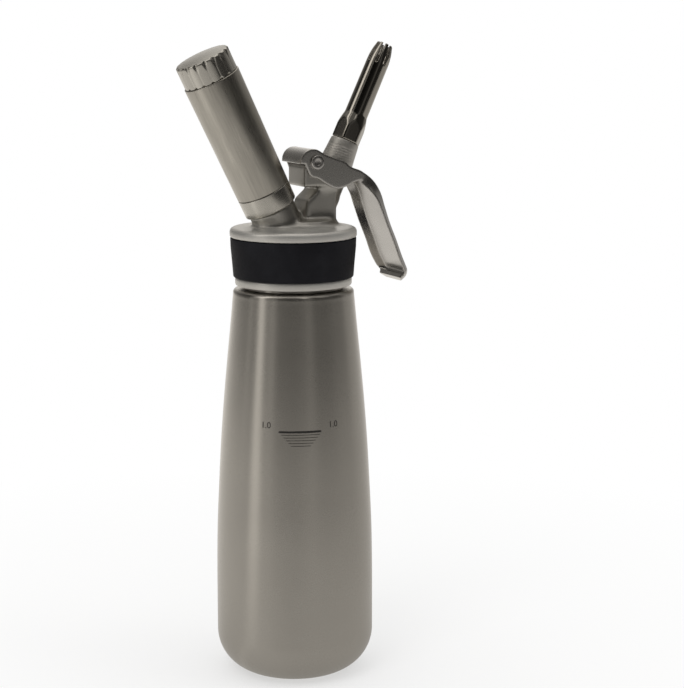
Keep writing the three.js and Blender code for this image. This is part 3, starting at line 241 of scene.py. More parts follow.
def turned(profile, steps, shape=None, span=None):
    """A profile of (r, z) turned about Z. It starts and ends on the axis, or it is a closed ring.
    shape(r, z, angle) may change a point's radius. span leaves a gap, in degrees, with flat ends."""
    on_axis = 1e-9
    closed_ring = profile[0][0] > on_axis
    count = steps if span is None else steps + 1
    start, end = span or (0, 360)
    verts, rows = [], []
    for r, z in profile:
        if r < on_axis:
            rows.append([len(verts)] * count)
            verts.append((0, 0, z))
            continue
        rows.append(list(range(len(verts), len(verts) + count)))
        for j in range(count):
            a = radians(start + (end - start) * j / steps)
            radius = shape(r, z, a) if shape else r
            verts.append((radius * cos(a), radius * sin(a), z))
    faces = []
    for i in range(len(rows) if closed_ring else len(rows) - 1):
        low, high = rows[i], rows[(i + 1) % len(rows)]
        for j in range(steps):
            k = (j + 1) % count
            face = list(dict.fromkeys((low[j], low[k], high[k], high[j])))
            if len(face) > 2:
                faces.append(face)
    if span:
        faces.append([row[0] for row in rows])
        faces.append([row[-1] for row in rows][::-1])
    return verts, faces


def rod(radius, bottom, top, steps):
    """A plain round bar about Z."""
    return turned([(0, bottom), (radius, bottom), (radius, top), (0, top)], steps)


def drawn(outline, low, high):
    """An outline of (x, z) drawn out along Y."""
    n = len(outline)
    verts = [(x, low, z) for x, z in outline] + [(x, high, z) for x, z in outline]
    faces = [list(range(n)), list(range(2 * n - 1, n - 1, -1))]
    faces += [[i + n, (i + 1) % n + n, (i + 1) % n, i] for i in range(n)]
    return verts, faces


def skinned(rings):
    """A closed skin over rings of points, with its two ends filled."""
    n = len(rings[0])
    verts = [point for ring in rings for point in ring]
    faces = [list(range(n))[::-1], list(range(len(verts) - n, len(verts)))]
    for i in range(len(rings) - 1):
        for j in range(n):
            k = (j + 1) % n
            faces.append([i * n + j, i * n + k, (i + 1) * n + k, (i + 1) * n + j])
    return verts, faces


def rounded_slab(outline, width, edge):
    """An outline of (x, z) drawn out along Y, with its long edges rounded."""
    middle = Vector((sum(x for x, z in outline) / len(outline), sum(z for x, z in outline) / len(outline)))
    bends = [radians(a) for a in (90, 70, 52, 35, 18, 0)]
    rows = [(width / 2 - edge + edge * sin(a), edge * (1 - cos(a))) for a in bends]
    rings = []
    for y, inset in [(-y, inset) for y, inset in rows] + rows[::-1]:
        ring = []
        for x, z in outline:
            inward = (middle - Vector((x, z))).normalized() * inset
            ring.append((x + inward.x, y, z + inward.y))
        rings.append(ring)
    return skinned(rings)


def make(name, form, place=None, angle=32, baked=False):
    """An object from millimetre points. It keeps its own frame, or is baked into the row's frame."""
    verts, faces = form
    mesh = bpy.data.meshes.new(name)
    mesh.from_pydata([(x * MM, y * MM, z * MM) for x, y, z in verts], [], faces)
    work = bmesh.new()
    work.from_mesh(mesh)
    bmesh.ops.remove_doubles(work, verts=work.verts, dist=1e-7)
    bmesh.ops.recalc_face_normals(work, faces=work.faces)
    work.to_mesh(mesh)
    work.free()
    mesh.shade_smooth()
    mesh.set_sharp_from_angle(angle=radians(angle))
    obj = linked(name, mesh)
    if baked:
        mesh.transform(place)
    elif place is not None:
        obj.matrix_world = place
    return obj


def linked(name, data):
    """A new object in the scene."""
    obj = bpy.data.objects.new(name, data)
    SCENE.collection.objects.link(obj)
    return obj


def removed(obj):
    """Takes an object and its mesh out of the file."""
    mesh = obj.data
    bpy.data.objects.remove(obj)
    bpy.data.meshes.remove(mesh)


def applied(obj):
    """Replaces the object's mesh by its evaluated one and drops its modifiers."""
    graph = bpy.context.evaluated_depsgraph_get()
    graph.update()
    fresh = bpy.data.meshes.new_from_object(obj.evaluated_get(graph))
    obj.modifiers.clear()
    old = obj.data
    obj.data = fresh
    fresh.name = old.name
    bpy.data.meshes.remove(old)
    return obj


def cut(obj, cutter):
    """Takes a cutter's volume from the object."""
    modifier = obj.modifiers.new("cut", "BOOLEAN")
    modifier.operation = "DIFFERENCE"
    modifier.solver = "EXACT"
    modifier.object = cutter
    applied(obj)
    removed(cutter)
    return obj


def trimmed(obj, height):
    """Takes off what lies below a height, on an object that is baked into the row's frame."""
    work = bmesh.new()
    work.from_mesh(obj.data)
    bmesh.ops.bisect_plane(work, geom=work.verts[:] + work.edges[:] + work.faces[:],
                           plane_co=(0, 0, height * MM), plane_no=(0, 0, 1), clear_inner=True)
    bmesh.ops.holes_fill(work, edges=[e for e in work.edges if e.is_boundary])
    work.to_mesh(obj.data)
    work.free()
    return obj


def merged(name, parts):
    """One object from the shells of several, all baked into the row's frame."""
    work = bmesh.new()
    for part in parts:
        part.data.transform(part.matrix_world)
        work.from_mesh(part.data)
        removed(part)
    mesh = bpy.data.meshes.new(name)
    work.to_mesh(mesh)
    work.free()
    return linked(name, mesh)


def fused(obj, voxel):
    """One skin over shells that reach into each other."""
    modifier = obj.modifiers.new("fuse", "REMESH")
    modifier.mode = "VOXEL"
    modifier.voxel_size = voxel * MM
    modifier.adaptivity = 0
    applied(obj)
    obj.data.shade_smooth()
    return obj


def relaxed(obj, rounds, first, concave, convex, region=None):
    """Smooths a fused mesh: all of it in the first rounds, and after that mostly the hollow corners in the
    region, which grow into fillets."""
    flat, even_weight, normal_rounds = 0.004, 0.5, 8
    mesh = obj.data
    n = len(mesh.vertices)
    co = np.zeros(n * 3)
    mesh.vertices.foreach_get("co", co)
    co = co.reshape(-1, 3) / MM
    edges = np.zeros(len(mesh.edges) * 2, np.int64)
    mesh.edges.foreach_get("vertices", edges)
    a, b = edges.reshape(-1, 2).T
    degree = np.maximum(np.bincount(a, minlength=n) + np.bincount(b, minlength=n), 1)
    mask = np.ones(n) if region is None else region(co)
    for i in range(rounds):
        if i % normal_rounds == 0:
            mesh.vertices.foreach_set("co", (co * MM).ravel())
            mesh.update()
            normal = np.zeros(n * 3, np.float32)
            mesh.vertex_normals.foreach_get("vector", normal)
            normal = normal.reshape(-1, 3).astype(float)
        total = np.stack([np.bincount(a, axis[b], n) + np.bincount(b, axis[a], n) for axis in co.T], axis=1)
        towards = total / degree[:, None] - co
        if i < first:
            co += towards * even_weight
        else:
            bend = (towards * normal).sum(1)
            weight = np.where(bend > -flat, concave, convex) * mask
            co += towards * weight[:, None]
    mesh.vertices.foreach_set("co", (co * MM).ravel())
    mesh.update()
    return obj


def shaded(obj, angle):
    """Smooth shading with an edge wherever the surface turns more than the angle."""
    obj.data.shade_smooth()
    obj.data.set_sharp_from_angle(angle=radians(angle))
    return obj


# Shader nodes

def ramp(tree, value, low, high, out_low, out_high):
    """A value from low to high, clamped and mapped to the range from out_low to out_high."""
    node = tree.nodes.new("ShaderNodeMapRange")
    for socket, number in (("From Min", low), ("From Max", high), ("To Min", out_low), ("To Max", out_high)):
        node.inputs[socket].default_value = number
    tree.links.new(value, node.inputs["Value"])
    return node.outputs["Result"]


def faded(tree, value, out_low, out_high):
    """A noise, whose values lie mostly between 0.3 and 0.7, mapped to a range."""
    return ramp(tree, value, 0.3, 0.7, out_low, out_high)


def noise(tree, scale, stretch, detail=4.0, rough=0.55, distortion=0.0, tilt=0.0):
    """Noise stretched along an axis of the piece, which may be tilted about Y by some degrees."""
    place = tree.nodes.new("ShaderNodeTexCoord")
    lean = tree.nodes.new("ShaderNodeMapping")
    lean.inputs["Rotation"].default_value = (0, radians(tilt), 0)
    squeeze = tree.nodes.new("ShaderNodeMapping")
    squeeze.inputs["Scale"].default_value = stretch
    node = tree.nodes.new("ShaderNodeTexNoise")
    node.inputs["Scale"].default_value = scale
    node.inputs["Detail"].default_value = detail
    node.inputs["Roughness"].default_value = rough
    node.inputs["Distortion"].default_value = distortion
    tree.links.new(place.outputs["Object"], lean.inputs["Vector"])
    tree.links.new(lean.outputs["Vector"], squeeze.inputs["Vector"])
    tree.links.new(squeeze.outputs["Vector"], node.inputs["Vector"])
    return node.outputs["Fac"]


def connected(tree, socket, value):
    """Gives a socket a number, a colour or another node's output."""
    if isinstance(value, (int, float)):
        socket.default_value = value
    elif isinstance(value, tuple):
        socket.default_value = (*value, 1)
    else:
        tree.links.new(value, socket)


def mixed(tree, factor, a, b, blend="MIX"):
    node = tree.nodes.new("ShaderNodeMix")
    node.data_type = "RGBA"
    node.blend_type = blend
    colours = [s for s in node.inputs if s.type == "RGBA"]
    amount = [s for s in node.inputs if s.name == "Factor" and s.type == "VALUE"][0]
    for socket, value in ((amount, factor), (colours[0], a), (colours[1], b)):
        connected(tree, socket, value)
    return [s for s in node.outputs if s.type == "RGBA"][0]


def combined(tree, how, a, b):
    node = tree.nodes.new("ShaderNodeMath")
    node.operation = how
    for socket, value in zip(node.inputs, (a, b)):
        connected(tree, socket, value)
    return node.outputs["Value"]


def added(tree, a, b):
    return combined(tree, "ADD", a, b)


def times(tree, a, b):
    return combined(tree, "MULTIPLY", a, b)


def bumped(tree, shader, height, strength, distance):
    node = tree.nodes.new("ShaderNodeBump")
    node.inputs["Strength"].default_value = strength
    node.inputs["Distance"].default_value = distance
    tree.links.new(height, node.inputs["Height"])
    tree.links.new(node.outputs["Normal"], shader.inputs["Normal"])


def pointiness(tree):
    return tree.nodes.new("ShaderNodeNewGeometry").outputs["Pointiness"]


def new_material(name):
    material = bpy.data.materials.new(name)
    material.use_nodes = True
    return material, material.node_tree, material.node_tree.nodes["Principled BSDF"]


def tinted(colour, share, lift=0.0):
    """A colour times a share, with a lift added, and no brighter than white."""
    return tuple(min(1, c * share + lift) for c in colour)


# Materials

ROUND, LONG, EVEN = (1, 1, 26), (22, 22, 1), (1, 1, 1)
EDGE_WEAR, EDGE_LIGHT, EDGE_POLISH = 0.35, 1.35, 0.25
# Painted shade in hollows: how strongly it is mixed in, how dark it makes the colour, and how much rougher
# the hollows are
NOOK_PAINTED_SHADE, NOOK_SHADE_TONE, NOOK_ROUGHNESS = 0.55, 0.5, 0.2


def metal(name, colour, rough, spread, grain, grain_scale, bump, grain_mark=0.14, patch=0.06, margin=0.02,
          pits=0.0, aniso=0.0, tilt=0.0, finish_and_painted_light_below=None):
    """A metal with a stretched grain, cloudy polish, worn edges, and shade painted into its hollows, which
    are also rougher. margin keeps wear to sharper edges and painted shade to deeper hollows. The last
    argument, if given, is a height in metres and how much lighter the metal is painted below it, where it is
    also less metallic."""
    material, tree, shader = new_material(name)
    fine = noise(tree, grain_scale, grain, 5.0, 0.6, tilt=tilt)
    cloud = noise(tree, 38.0, EVEN, 5.0, 0.55, 0.4)
    broad = noise(tree, 11.0, EVEN, 2.0, 0.5)
    edge = pointiness(tree)
    worn = ramp(tree, edge, 0.5 + margin, 0.5 + 0.1 + margin, 0.0, 1.0)
    # Hollows, where shade is painted into the colour and the roughness rises
    shaded_nook = ramp(tree, edge, 0.5 - margin, 0.5 - 0.08 - margin, 0.0, 1.0)

    base = mixed(tree, faded(tree, broad, 0.0, 1.0),
                 tinted(colour, 1 - 1.6 * patch), tinted(colour, 1 + patch))
    base = mixed(tree, ramp(tree, fine, 0.35, 0.75, 0.0, 0.25), base, tinted(colour, 1 - 2 * grain_mark))
    base = mixed(tree, times(tree, worn, EDGE_WEAR), base, tinted(colour, EDGE_LIGHT))
    # Painted shade: the colour darkens in hollows
    base = mixed(tree, times(tree, shaded_nook, NOOK_PAINTED_SHADE), base, tinted(colour, NOOK_SHADE_TONE))
    shader.inputs["Metallic"].default_value = 1.0
    # Painted light: below a height the colour is painted lighter, and the metal is a little less metallic
    # there
    if finish_and_painted_light_below:
        height, lighter = finish_and_painted_light_below
        place = tree.nodes.new("ShaderNodeTexCoord")
        split = tree.nodes.new("ShaderNodeSeparateXYZ")
        tree.links.new(place.outputs["Object"], split.inputs["Vector"])
        lower = ramp(tree, split.outputs["Z"], height + 0.0012, height - 0.0004, 0.0, 1.0)
        base = mixed(tree, lower, base, mixed(tree, 1.0, base, (lighter,) * 3, "MULTIPLY"))
        tree.links.new(ramp(tree, lower, 0.0, 1.0, 1.0, 0.74), shader.inputs["Metallic"])
    tree.links.new(base, shader.inputs["Base Color"])

    level = added(tree, faded(tree, fine, rough - spread, rough + spread),
                  ramp(tree, cloud, 0.3, 0.75, -0.5 * spread, 0.8 * spread))
    level = added(tree, level, times(tree, worn, -EDGE_POLISH * rough))
    level = added(tree, level, times(tree, shaded_nook, NOOK_ROUGHNESS))
    tree.links.new(level, shader.inputs["Roughness"])

    if aniso:
        shader.inputs["Anisotropic"].default_value = aniso
        shader.inputs["Anisotropic Rotation"].default_value = 0.25
        tangent = tree.nodes.new("ShaderNodeTangent")
        tangent.direction_type = "RADIAL"
        tangent.axis = "Z"
        tree.links.new(tangent.outputs["Tangent"], shader.inputs["Tangent"])
    relief = fine
    if pits:
        relief = added(tree, fine, times(tree, noise(tree, 420.0, EVEN, 3.0, 0.5), pits))
    bumped(tree, shader, relief, bump, 0.0004)
    return material


def rubber(name, colour, rough, specular):
    """A dull rubber, seal or ink with fine specks, dusty patches and rubbed edges."""
    material, tree, shader = new_material(name)
    specks = noise(tree, 700.0, EVEN, 4.0, 0.6)
    cloud = noise(tree, 45.0, EVEN, 4.0, 0.6)
    rubbed = ramp(tree, pointiness(tree), 0.52, 0.62, 0.0, 0.5)
    base = mixed(tree, ramp(tree, cloud, 0.4, 0.75, 0.0, 1.0), colour, tinted(colour, 1.25, 0.004))
    base = mixed(tree, rubbed, base, tinted(colour, 1.8, 0.006))
    tree.links.new(base, shader.inputs["Base Color"])
    level = added(tree, faded(tree, specks, rough - 0.06, rough + 0.06),
                  faded(tree, cloud, -0.05, 0.05))
    tree.links.new(level, shader.inputs["Roughness"])
    shader.inputs["Specular IOR Level"].default_value = specular
    bumped(tree, shader, specks, 0.12, 0.0002)
    return material


bottle_steel = metal("bottle_steel", (0.515, 0.493, 0.453), 0.28, 0.02, ROUND, 1100.0, 0.008,
                     grain_mark=0.06, patch=0.03, aniso=0.7)
# Painted light: the disc, groove and skirt of the casting are painted lighter below the disc's top, and are a
# little less metallic
head_metal = metal("head_metal", (0.54, 0.525, 0.49), 0.38, 0.05, EVEN, 900.0, 0.03,
                   margin=0.045, pits=0.3, finish_and_painted_light_below=(0.2658, 1.12))
lever_metal = metal("lever_metal", (0.56, 0.545, 0.52), 0.28, 0.02, EVEN, 1500.0, 0.006,
                    grain_mark=0.04, margin=0.06)
holder_steel = metal("holder_steel", (0.56, 0.535, 0.48), 0.33, 0.07, LONG, 60.0, 0.09, grain_mark=0.34)
cap_steel = metal("cap_steel", (0.60, 0.58, 0.53), 0.28, 0.04, ROUND, 260.0, 0.01,
                  grain_mark=0.06, patch=0.03, tilt=INLET_LEAN)
chrome = metal("chrome", (0.41, 0.387, 0.345), 0.12, 0.02, EVEN, 1500.0, 0.004,
               grain_mark=0.04, patch=0.03, margin=0.09)
adaptor_metal = metal("adaptor_metal", (0.74, 0.72, 0.68), 0.50, 0.05, ROUND, 700.0, 0.05)
bright_steel = metal("bright_steel", (0.62, 0.60, 0.58), 0.22, 0.05, ROUND, 500.0, 0.04)
brass = metal("brass", (0.60, 0.43, 0.16), 0.32, 0.06, ROUND, 500.0, 0.05)
spring_steel = metal("spring_steel", (0.42, 0.41, 0.43), 0.3, 0.06, EVEN, 600.0, 0.05)
charger_steel = metal("charger_steel", (0.62, 0.63, 0.65), 0.3, 0.06, ROUND, 500.0, 0.04)
silicone = rubber("silicone", (0.005, 0.005, 0.0072), 0.6, 0.16)
red_seal = rubber("red_seal", (0.27, 0.035, 0.02), 0.6, 0.4)
white_seal = rubber("white_seal", (0.62, 0.58, 0.52), 0.6, 0.4)
ink = rubber("ink", (0.014, 0.012, 0.011), 0.5, 0.25)


def dress(obj, material, body, slot, *replaced):
    """Gives a piece its material and its body, and hides the nodes that it stands for. The slot of its finish
    is not used.
    """
    obj.data.materials.clear()
    obj.data.materials.append(material)
    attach(obj, body)
    if replaced:
        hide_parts(*replaced)


# Camera, fitted to the photographed outlines

CAMERA_TURN, CAMERA_PITCH = radians(26.52), radians(-10)
camera = linked("camera", bpy.data.cameras.new("camera"))
camera.data.lens = 96.49
camera.data.sensor_width = 36.0
camera.data.clip_start = 0.01
camera.data.clip_end = 50.0
forward = Vector((sin(CAMERA_TURN) * cos(CAMERA_PITCH),
                  cos(CAMERA_TURN) * cos(CAMERA_PITCH), sin(CAMERA_PITCH)))
camera.location = (-0.4488, -0.9625, 0.383)
camera.rotation_euler = forward.to_track_quat("-Z", "Y").to_euler()
SCENE.camera = camera
SCENE.view_settings.view_transform = "Standard"


# Axes of the pieces that lean or lie across

def leaning(lean, crossing):
    """The frame of an axis that leans towards +X, from where it crosses the bottle's axis."""
    return Matrix.Translation((0, 0, crossing * MM)) @ Matrix.Rotation(radians(lean), 4, "Y")


def crosswise(x, z):
    """The frame of an axis along Y."""
    return Matrix.Translation((x * MM, 0, z * MM)) @ Matrix.Rotation(radians(-90), 4, "X")


INLET = leaning(-INLET_LEAN, INLET_CROSSING)
NOZZLE = leaning(NOZZLE_LEAN, NOZZLE_CROSSING)
PIN_AXIS = crosswise(PIN_X, PIN_HEIGHT)


# Bottle with its neck, and the mark printed on it

BODY_SIDE = hermite([(BODY_RADIUS, BASE_CORNER)]
                    + [(radius * BODY_RADIUS, height * BODY_HEIGHT) for height, radius in WALL_SHARES], 7)


def bottle_form():
    """The shell's outside from the middle of the base up, and its inside back down."""
    inner_top = BODY_HEIGHT - BODY_WALL
    neck_bore = NECK_RADIUS - BODY_WALL
    neck = ([(SHOULDER_RADIUS - 0.2, BODY_HEIGHT), (NECK_RADIUS, BODY_HEIGHT, 0.6)]
            + ridges(NECK_RADIUS, NECK_THREAD, NECK_RIDGES, NECK_THREAD_START)
            + [(NECK_RADIUS, NECK_TOP, MILD), (NECK_RADIUS - 0.6, NECK_TOP)])
    outside = ([(0, 0)] + arc(BODY_RADIUS - BASE_CORNER, BASE_CORNER, BASE_CORNER, -90, 0, 26) + BODY_SIDE[1:]
               + arc(SHOULDER_RADIUS, BODY_HEIGHT - SHOULDER_CORNER, SHOULDER_CORNER, 14, 90, 7) + soft(neck))
    inside = ([(neck_bore, NECK_TOP - MILD), (neck_bore, inner_top), (SHOULDER_RADIUS, inner_top)]
              + [(r - BODY_WALL, z) for r, z in BODY_SIDE[::-2]]
              + arc(BODY_RADIUS - BASE_CORNER, BASE_CORNER, BASE_CORNER - BODY_WALL, -4, -90, 16)
              + [(0, BODY_WALL)])
    return turned(outside + inside, BOTTLE_STEPS)


dress(make("bottle_shell", bottle_form()), bottle_steel, "bottle", "satin_steel", "bottle", "bottle_neck")

side_r, side_z = np.array(BODY_SIDE).T


def side_radius(z):
    return float(np.interp(z, side_z, side_r))


def on_side(turn, z, proud):
    """A point on the bottle's side, turned to the right of the side that the photo shows."""
    a = radians(PHOTO_SIDE + turn)
    radius = side_radius(z) + proud
    return (radius * cos(a), radius * sin(a), z)


def stripe(name, left, right, z, thickness):
    """A thin printed line with its own edges, bent round the bottle."""
    steps, sunk, proud, crest, bevel, end_share = 40, -0.02, 0.045, 0.06, 0.03, 0.55
    low, high = -thickness / 2, thickness / 2
    section = [(sunk, low), (proud, low + bevel), (crest, 0), (proud, high - bevel), (sunk, high)]
    rings = []
    for i in range(steps + 1):
        turn = left + (right - left) * i / steps
        share = end_share if i in (0, steps) else 1.0
        rings.append([on_side(turn, z + up * share, out) for out, up in section])
    dress(make(name, skinned(rings), angle=60), ink, "bottle", "black_silicone")


def numeral(name, text, turn, z):
    """Generic figures, printed thin and bent round the bottle."""
    font = bpy.data.curves.new(name, "FONT")
    font.body = text
    font.size = 4.97
    font.extrude = 0.05
    font.bevel_depth = 0.012
    font.align_x = "CENTER"
    font.align_y = "CENTER"
    flat = linked(name + "_flat", font)
    graph = bpy.context.evaluated_depsgraph_get()
    mesh = bpy.data.meshes.new_from_object(flat.evaluated_get(graph))
    bpy.data.objects.remove(flat)
    bpy.data.curves.remove(font)
    for v in mesh.vertices:
        x, y, out = v.co
        v.co = Vector(on_side(turn + degrees(x / side_radius(z + y)), z + y, out + 0.01)) * MM
    dress(linked(name, mesh), ink, "bottle", "black_silicone")


stripe("mark_full", left=-12.2, right=21.6, z=152.4, thickness=1.25)
for line in range(5):
    middle, reach = 5.2, 15.4 - 1.9 * line
    stripe(f"mark_{line + 1}", middle - reach, middle + reach, z=150.7 - 1.57 * line, thickness=0.38)
numeral("number_left", "1.0", turn=-22.5, z=155.8)
numeral("number_right", "1.0", turn=32.0, z=155.6)


# Head casting and its grip band

def cup_form():
    """The skirt with its thread and groove, and the crowned disc."""
    thread_start = NECK_THREAD_START + NECK_THREAD.pitch / 2
    return turned(soft(
        [(0, CEILING), (SKIRT_BORE, CEILING, EDGE)]
        + ridges(SKIRT_BORE, NECK_THREAD, NECK_RIDGES, thread_start, side=-1)[::-1]
        + [(SKIRT_BORE, SKIRT_BOTTOM, MILD), (33.9, SKIRT_BOTTOM, SOFT),
           (33.9, GROOVE_BOTTOM, SMALL),
           (GROOVE_RADIUS, GROOVE_BOTTOM, FINE), (GROOVE_RADIUS, GROOVE_TOP, FINE),
           (DISC_RADIUS, GROOVE_TOP, EDGE), (DISC_RADIUS, DISC_TOP + DISC_CROWN / 10, 3),
           (24, DISC_TOP + DISC_CROWN / 2, 6), (0, DISC_TOP + DISC_CROWN)], steps=7), 224)


def tower_point(x_share, z_share, rounding):
    return (x_share * DISC_RADIUS, DISC_TOP + z_share * (PIN_HEIGHT - DISC_TOP), rounding)


def yoke():
    """The wide top of the tower, cut free of the holder and the nozzle's adaptor."""
    lean = radians(NOZZLE_LEAN)
    seat_height = NOZZLE_CROSSING + NOZZLE_BOSS_TOP * cos(lean) + 10.4 * sin(lean)
    outline = soft([tower_point(*share) for share in YOKE_REAR_SHARES]
                   + arc(PIN_X, PIN_HEIGHT, EYE_RADIUS, 180, 0, 24)
                   + [(PIN_X + EYE_RADIUS, seat_height, 1)]
                   + [tower_point(*share) for share in YOKE_FRONT_SHARES], closed=True, steps=6)
    plate = make("plate", drawn(outline, -YOKE_WIDTH / 2, YOKE_WIDTH / 2))
    for radius, low, high, axis in ((HOLDER_TOP_RADIUS, INLET_BOSS_TOP, 128, INLET),
                                    (CONE_BOTTOM_RADIUS, NOZZLE_BOSS_TOP, 80, NOZZLE)):
        cut(plate, make("room", rod(radius + 0.9, low, high, BOSS_STEPS), axis))
    return plate


def foot_form():
    """The tower's hollow-sided foot on the disc."""
    steps, bottom = 12, DISC_TOP - 2
    profile = [(0, bottom)]
    for i in range(steps + 1):
        a = pi / 2 * i / steps
        profile.append((FOOT_WAIST_RADIUS + (FOOT_RADIUS - FOOT_WAIST_RADIUS) * (1 - sin(a)),
                        bottom + (2 + FOOT_HEIGHT) * (1 - cos(a))))
    return turned(profile + [(0, DISC_TOP + FOOT_HEIGHT)], BOSS_STEPS)


def inlet_boss_form():
    return turned(soft(
        [(0, 10), (INLET_BOSS_RADIUS, 10),
         (INLET_BOSS_RADIUS, INLET_BOSS_TOP, EDGE), (STUD_RADIUS, INLET_BOSS_TOP, SMALL)]
        + ridges(STUD_RADIUS, HOLDER_THREAD, 3, STUD_THREAD_START)
        + [(STUD_RADIUS, STUD_TOP, EDGE), (0, STUD_TOP)]), BOSS_STEPS)


def nozzle_boss_form():
    step = NOZZLE_BOSS_RADIUS - NOZZLE_BOSS_TOP_RADIUS
    return turned(soft(
        [(0, 8), (NOZZLE_BOSS_RADIUS, 8),
         (NOZZLE_BOSS_RADIUS, NOZZLE_BOSS_STEP, 0.6),
         (NOZZLE_BOSS_TOP_RADIUS, NOZZLE_BOSS_STEP + step, 0.6),
         (NOZZLE_BOSS_TOP_RADIUS, NOZZLE_BOSS_TOP, EDGE), (0, NOZZLE_BOSS_TOP)]), BOSS_STEPS)


def valve_bore_form():
    """The stem's guide and the spring's chamber."""
    guide, bottom = STEM_RADIUS + RUN_GAP, SEAT_DISTANCE - 2
    return turned([(0, bottom), (guide, bottom), (guide, CHAMBER_FLOOR), (CHAMBER_RADIUS, CHAMBER_FLOOR),
                   (CHAMBER_RADIUS, 60), (0, 60)], BORE_STEPS)


def pin_bore():
    return make("bore", rod(PIN_BORE, -20, 20, 48), PIN_AXIS)


def above_disc(co):
    """How far fillets grow: fully on the disc, hardly at the pin's eye, and not at all on the stud."""
    x, y, z = co.T
    lean = radians(INLET_LEAN)
    stud_start, stud_room, eye_depth, eye_fade, least = 31, 14.5, 13, 3, 0.06
    along = x * -sin(lean) + (z - INLET_CROSSING) * cos(lean)
    across = np.hypot(y, x * cos(lean) + (z - INLET_CROSSING) * sin(lean))
    stud = (along > stud_start) & (across < stud_room)
    on_top = np.where((z > DISC_TOP - 0.6) & ~stud, 1.0, 0.0)
    return on_top * np.clip((PIN_HEIGHT - eye_depth - z) / eye_fade, least, 1)


def head_casting():
    """One skin over the skirt, disc, tower and bosses, with its fillets, and then its bores."""
    web_outline = soft([tower_point(*share) for share in WEB_SHARES], closed=True, steps=6)
    foot_place = (Matrix.Translation((0.18 * DISC_RADIUS * MM, 0, 0))
                  @ Matrix.Diagonal((1, 0.8, 1, 1)))
    head = merged("head_casting", [
        make("cup", cup_form()),
        yoke(),
        make("web", rounded_slab(web_outline, WEB_WIDTH, 1.8)),
        make("foot", foot_form(), foot_place),
        trimmed(make("inlet_boss", inlet_boss_form(), INLET, baked=True), BOSS_FLOOR),
        trimmed(make("nozzle_boss", nozzle_boss_form(), NOZZLE, baked=True), BOSS_FLOOR),
        make("seat_boss", rod(8, SEAT_DISTANCE, 24, BOSS_STEPS), NOZZLE)])
    head = relaxed(fused(head, 0.6), 90, first=3, concave=0.5, convex=0.05, region=above_disc)
    drill = merged("drill", [make("bore", rod(5.3, 0, 50, BORE_STEPS), INLET),
                             make("bore", valve_bore_form(), NOZZLE), pin_bore()])
    return shaded(cut(head, drill), 50)


def band_form():
    """The grip band, which swells towards its top."""
    inner = GROOVE_RADIUS + SEAT_GAP
    bottom, top = GROOVE_BOTTOM + SEAT_GAP, GROOVE_TOP - SEAT_GAP
    return turned(soft(
        [(inner, bottom, SMALL), (BAND_BOTTOM_RADIUS, bottom, 1.1),
         (BAND_BOTTOM_RADIUS + 0.55, bottom + 7.5, 8),
         (BAND_TOP_RADIUS - 0.15, bottom + 17.5, 8), (BAND_TOP_RADIUS, top, SOFT), (inner, top, SMALL)],
        closed=True, steps=6), BOTTLE_STEPS)


dress(head_casting(), head_metal, "head", "cast_metal", "head")
dress(make("band", band_form()), silicone, "head", "black_silicone", "grip_band")


# Lever with its pin and clip

def lever_point(share):
    return (PIN_X + share[0] * LEVER_LENGTH, PIN_HEIGHT + share[1] * LEVER_LENGTH)


def back_form():
    """The sheet that joins the two ears behind the pin."""
    outer = hermite([lever_point(share) for share in EAR_TOP_SHARES[:5]], 8)
    inner = []
    for x, z in outer:
        inward = Vector((PIN_X - x, PIN_HEIGHT - z)).normalized() * LEVER_SHEET
        inner.append((x + inward.x, z + inward.y))
    return drawn(outer + inner[::-1], -LEVER_WIDTH / 2, LEVER_WIDTH / 2)


def both_sides(points):
    """Points of the right half of a section, then of the left half, back to the start."""
    return points + [(-across, *rest) for across, *rest in points[::-1]]


def tray_forms():
    """The handle, a tray whose lips splay outwards, and the block that closes its lower end."""
    stations = hermite([(*lever_point(share), *rest) for share, *rest in zip(
        TRAY_PATH_SHARES, TRAY_WIDTH_SHARES, TRAY_DEPTH_SHARES, TRAY_SPLAY_SHARES)], 6)
    rings, end_rings = [], []
    for i, (x, z, width, depth, splay) in enumerate(stations):
        before, after = stations[max(i - 1, 0)], stations[min(i + 1, len(stations) - 1)]
        along = Vector((after[0] - before[0], after[1] - before[1])).normalized()
        lean = splay * radians(LIP_SPLAY)
        out = Vector((sin(lean), cos(lean)))
        thick = Vector((-out.y, out.x)) * LEVER_SHEET * 0.7
        root = Vector((width * LEVER_WIDTH / 2, 0))
        lip = root + out * depth * LIP_DEPTH
        inner = root + thick + out * ((LEVER_SHEET - thick.y) / out.y)
        section = both_sides([(*root, 0.8), (*lip, EDGE), (*(lip + thick), EDGE), (*inner, 0.6)])
        rings.append([(x + along.y * up, across, z - along.x * up)
                      for across, up in soft(section, closed=True)])
        if i >= len(stations) - 7:
            block = both_sides([tuple(root), tuple(lip), tuple(lip + thick)])
            end_rings.append([(x + along.y * up, across, z - along.x * up) for across, up in block])
    return skinned(rings), skinned(end_rings)


def lever_arm():
    """One skin over the ears, back, handle and lugs, with the pin's hole."""
    half = LEVER_WIDTH / 2
    outline = (hermite([lever_point(share) for share in EAR_TOP_SHARES], 5)
               + hermite([lever_point(share) for share in EAR_BOTTOM_SHARES], 5))
    tray, tray_end = tray_forms()
    parts = [make("ear", drawn(outline, -half, -half + LEVER_SHEET)),
             make("ear", drawn(outline, half - LEVER_SHEET, half)),
             make("back", back_form()), make("tray", tray), make("tray_end", tray_end)]
    for low, high in ((-12.4, -6.6), (6.6, 12.4)):
        parts.append(make("lug", rod(1, low, high, 32), crosswise(26.6, 298.18)))
    lever = relaxed(fused(merged("lever_arm", parts), 0.38), 9, first=3, concave=0.5, convex=0.1)
    return shaded(cut(lever, pin_bore()), 60)


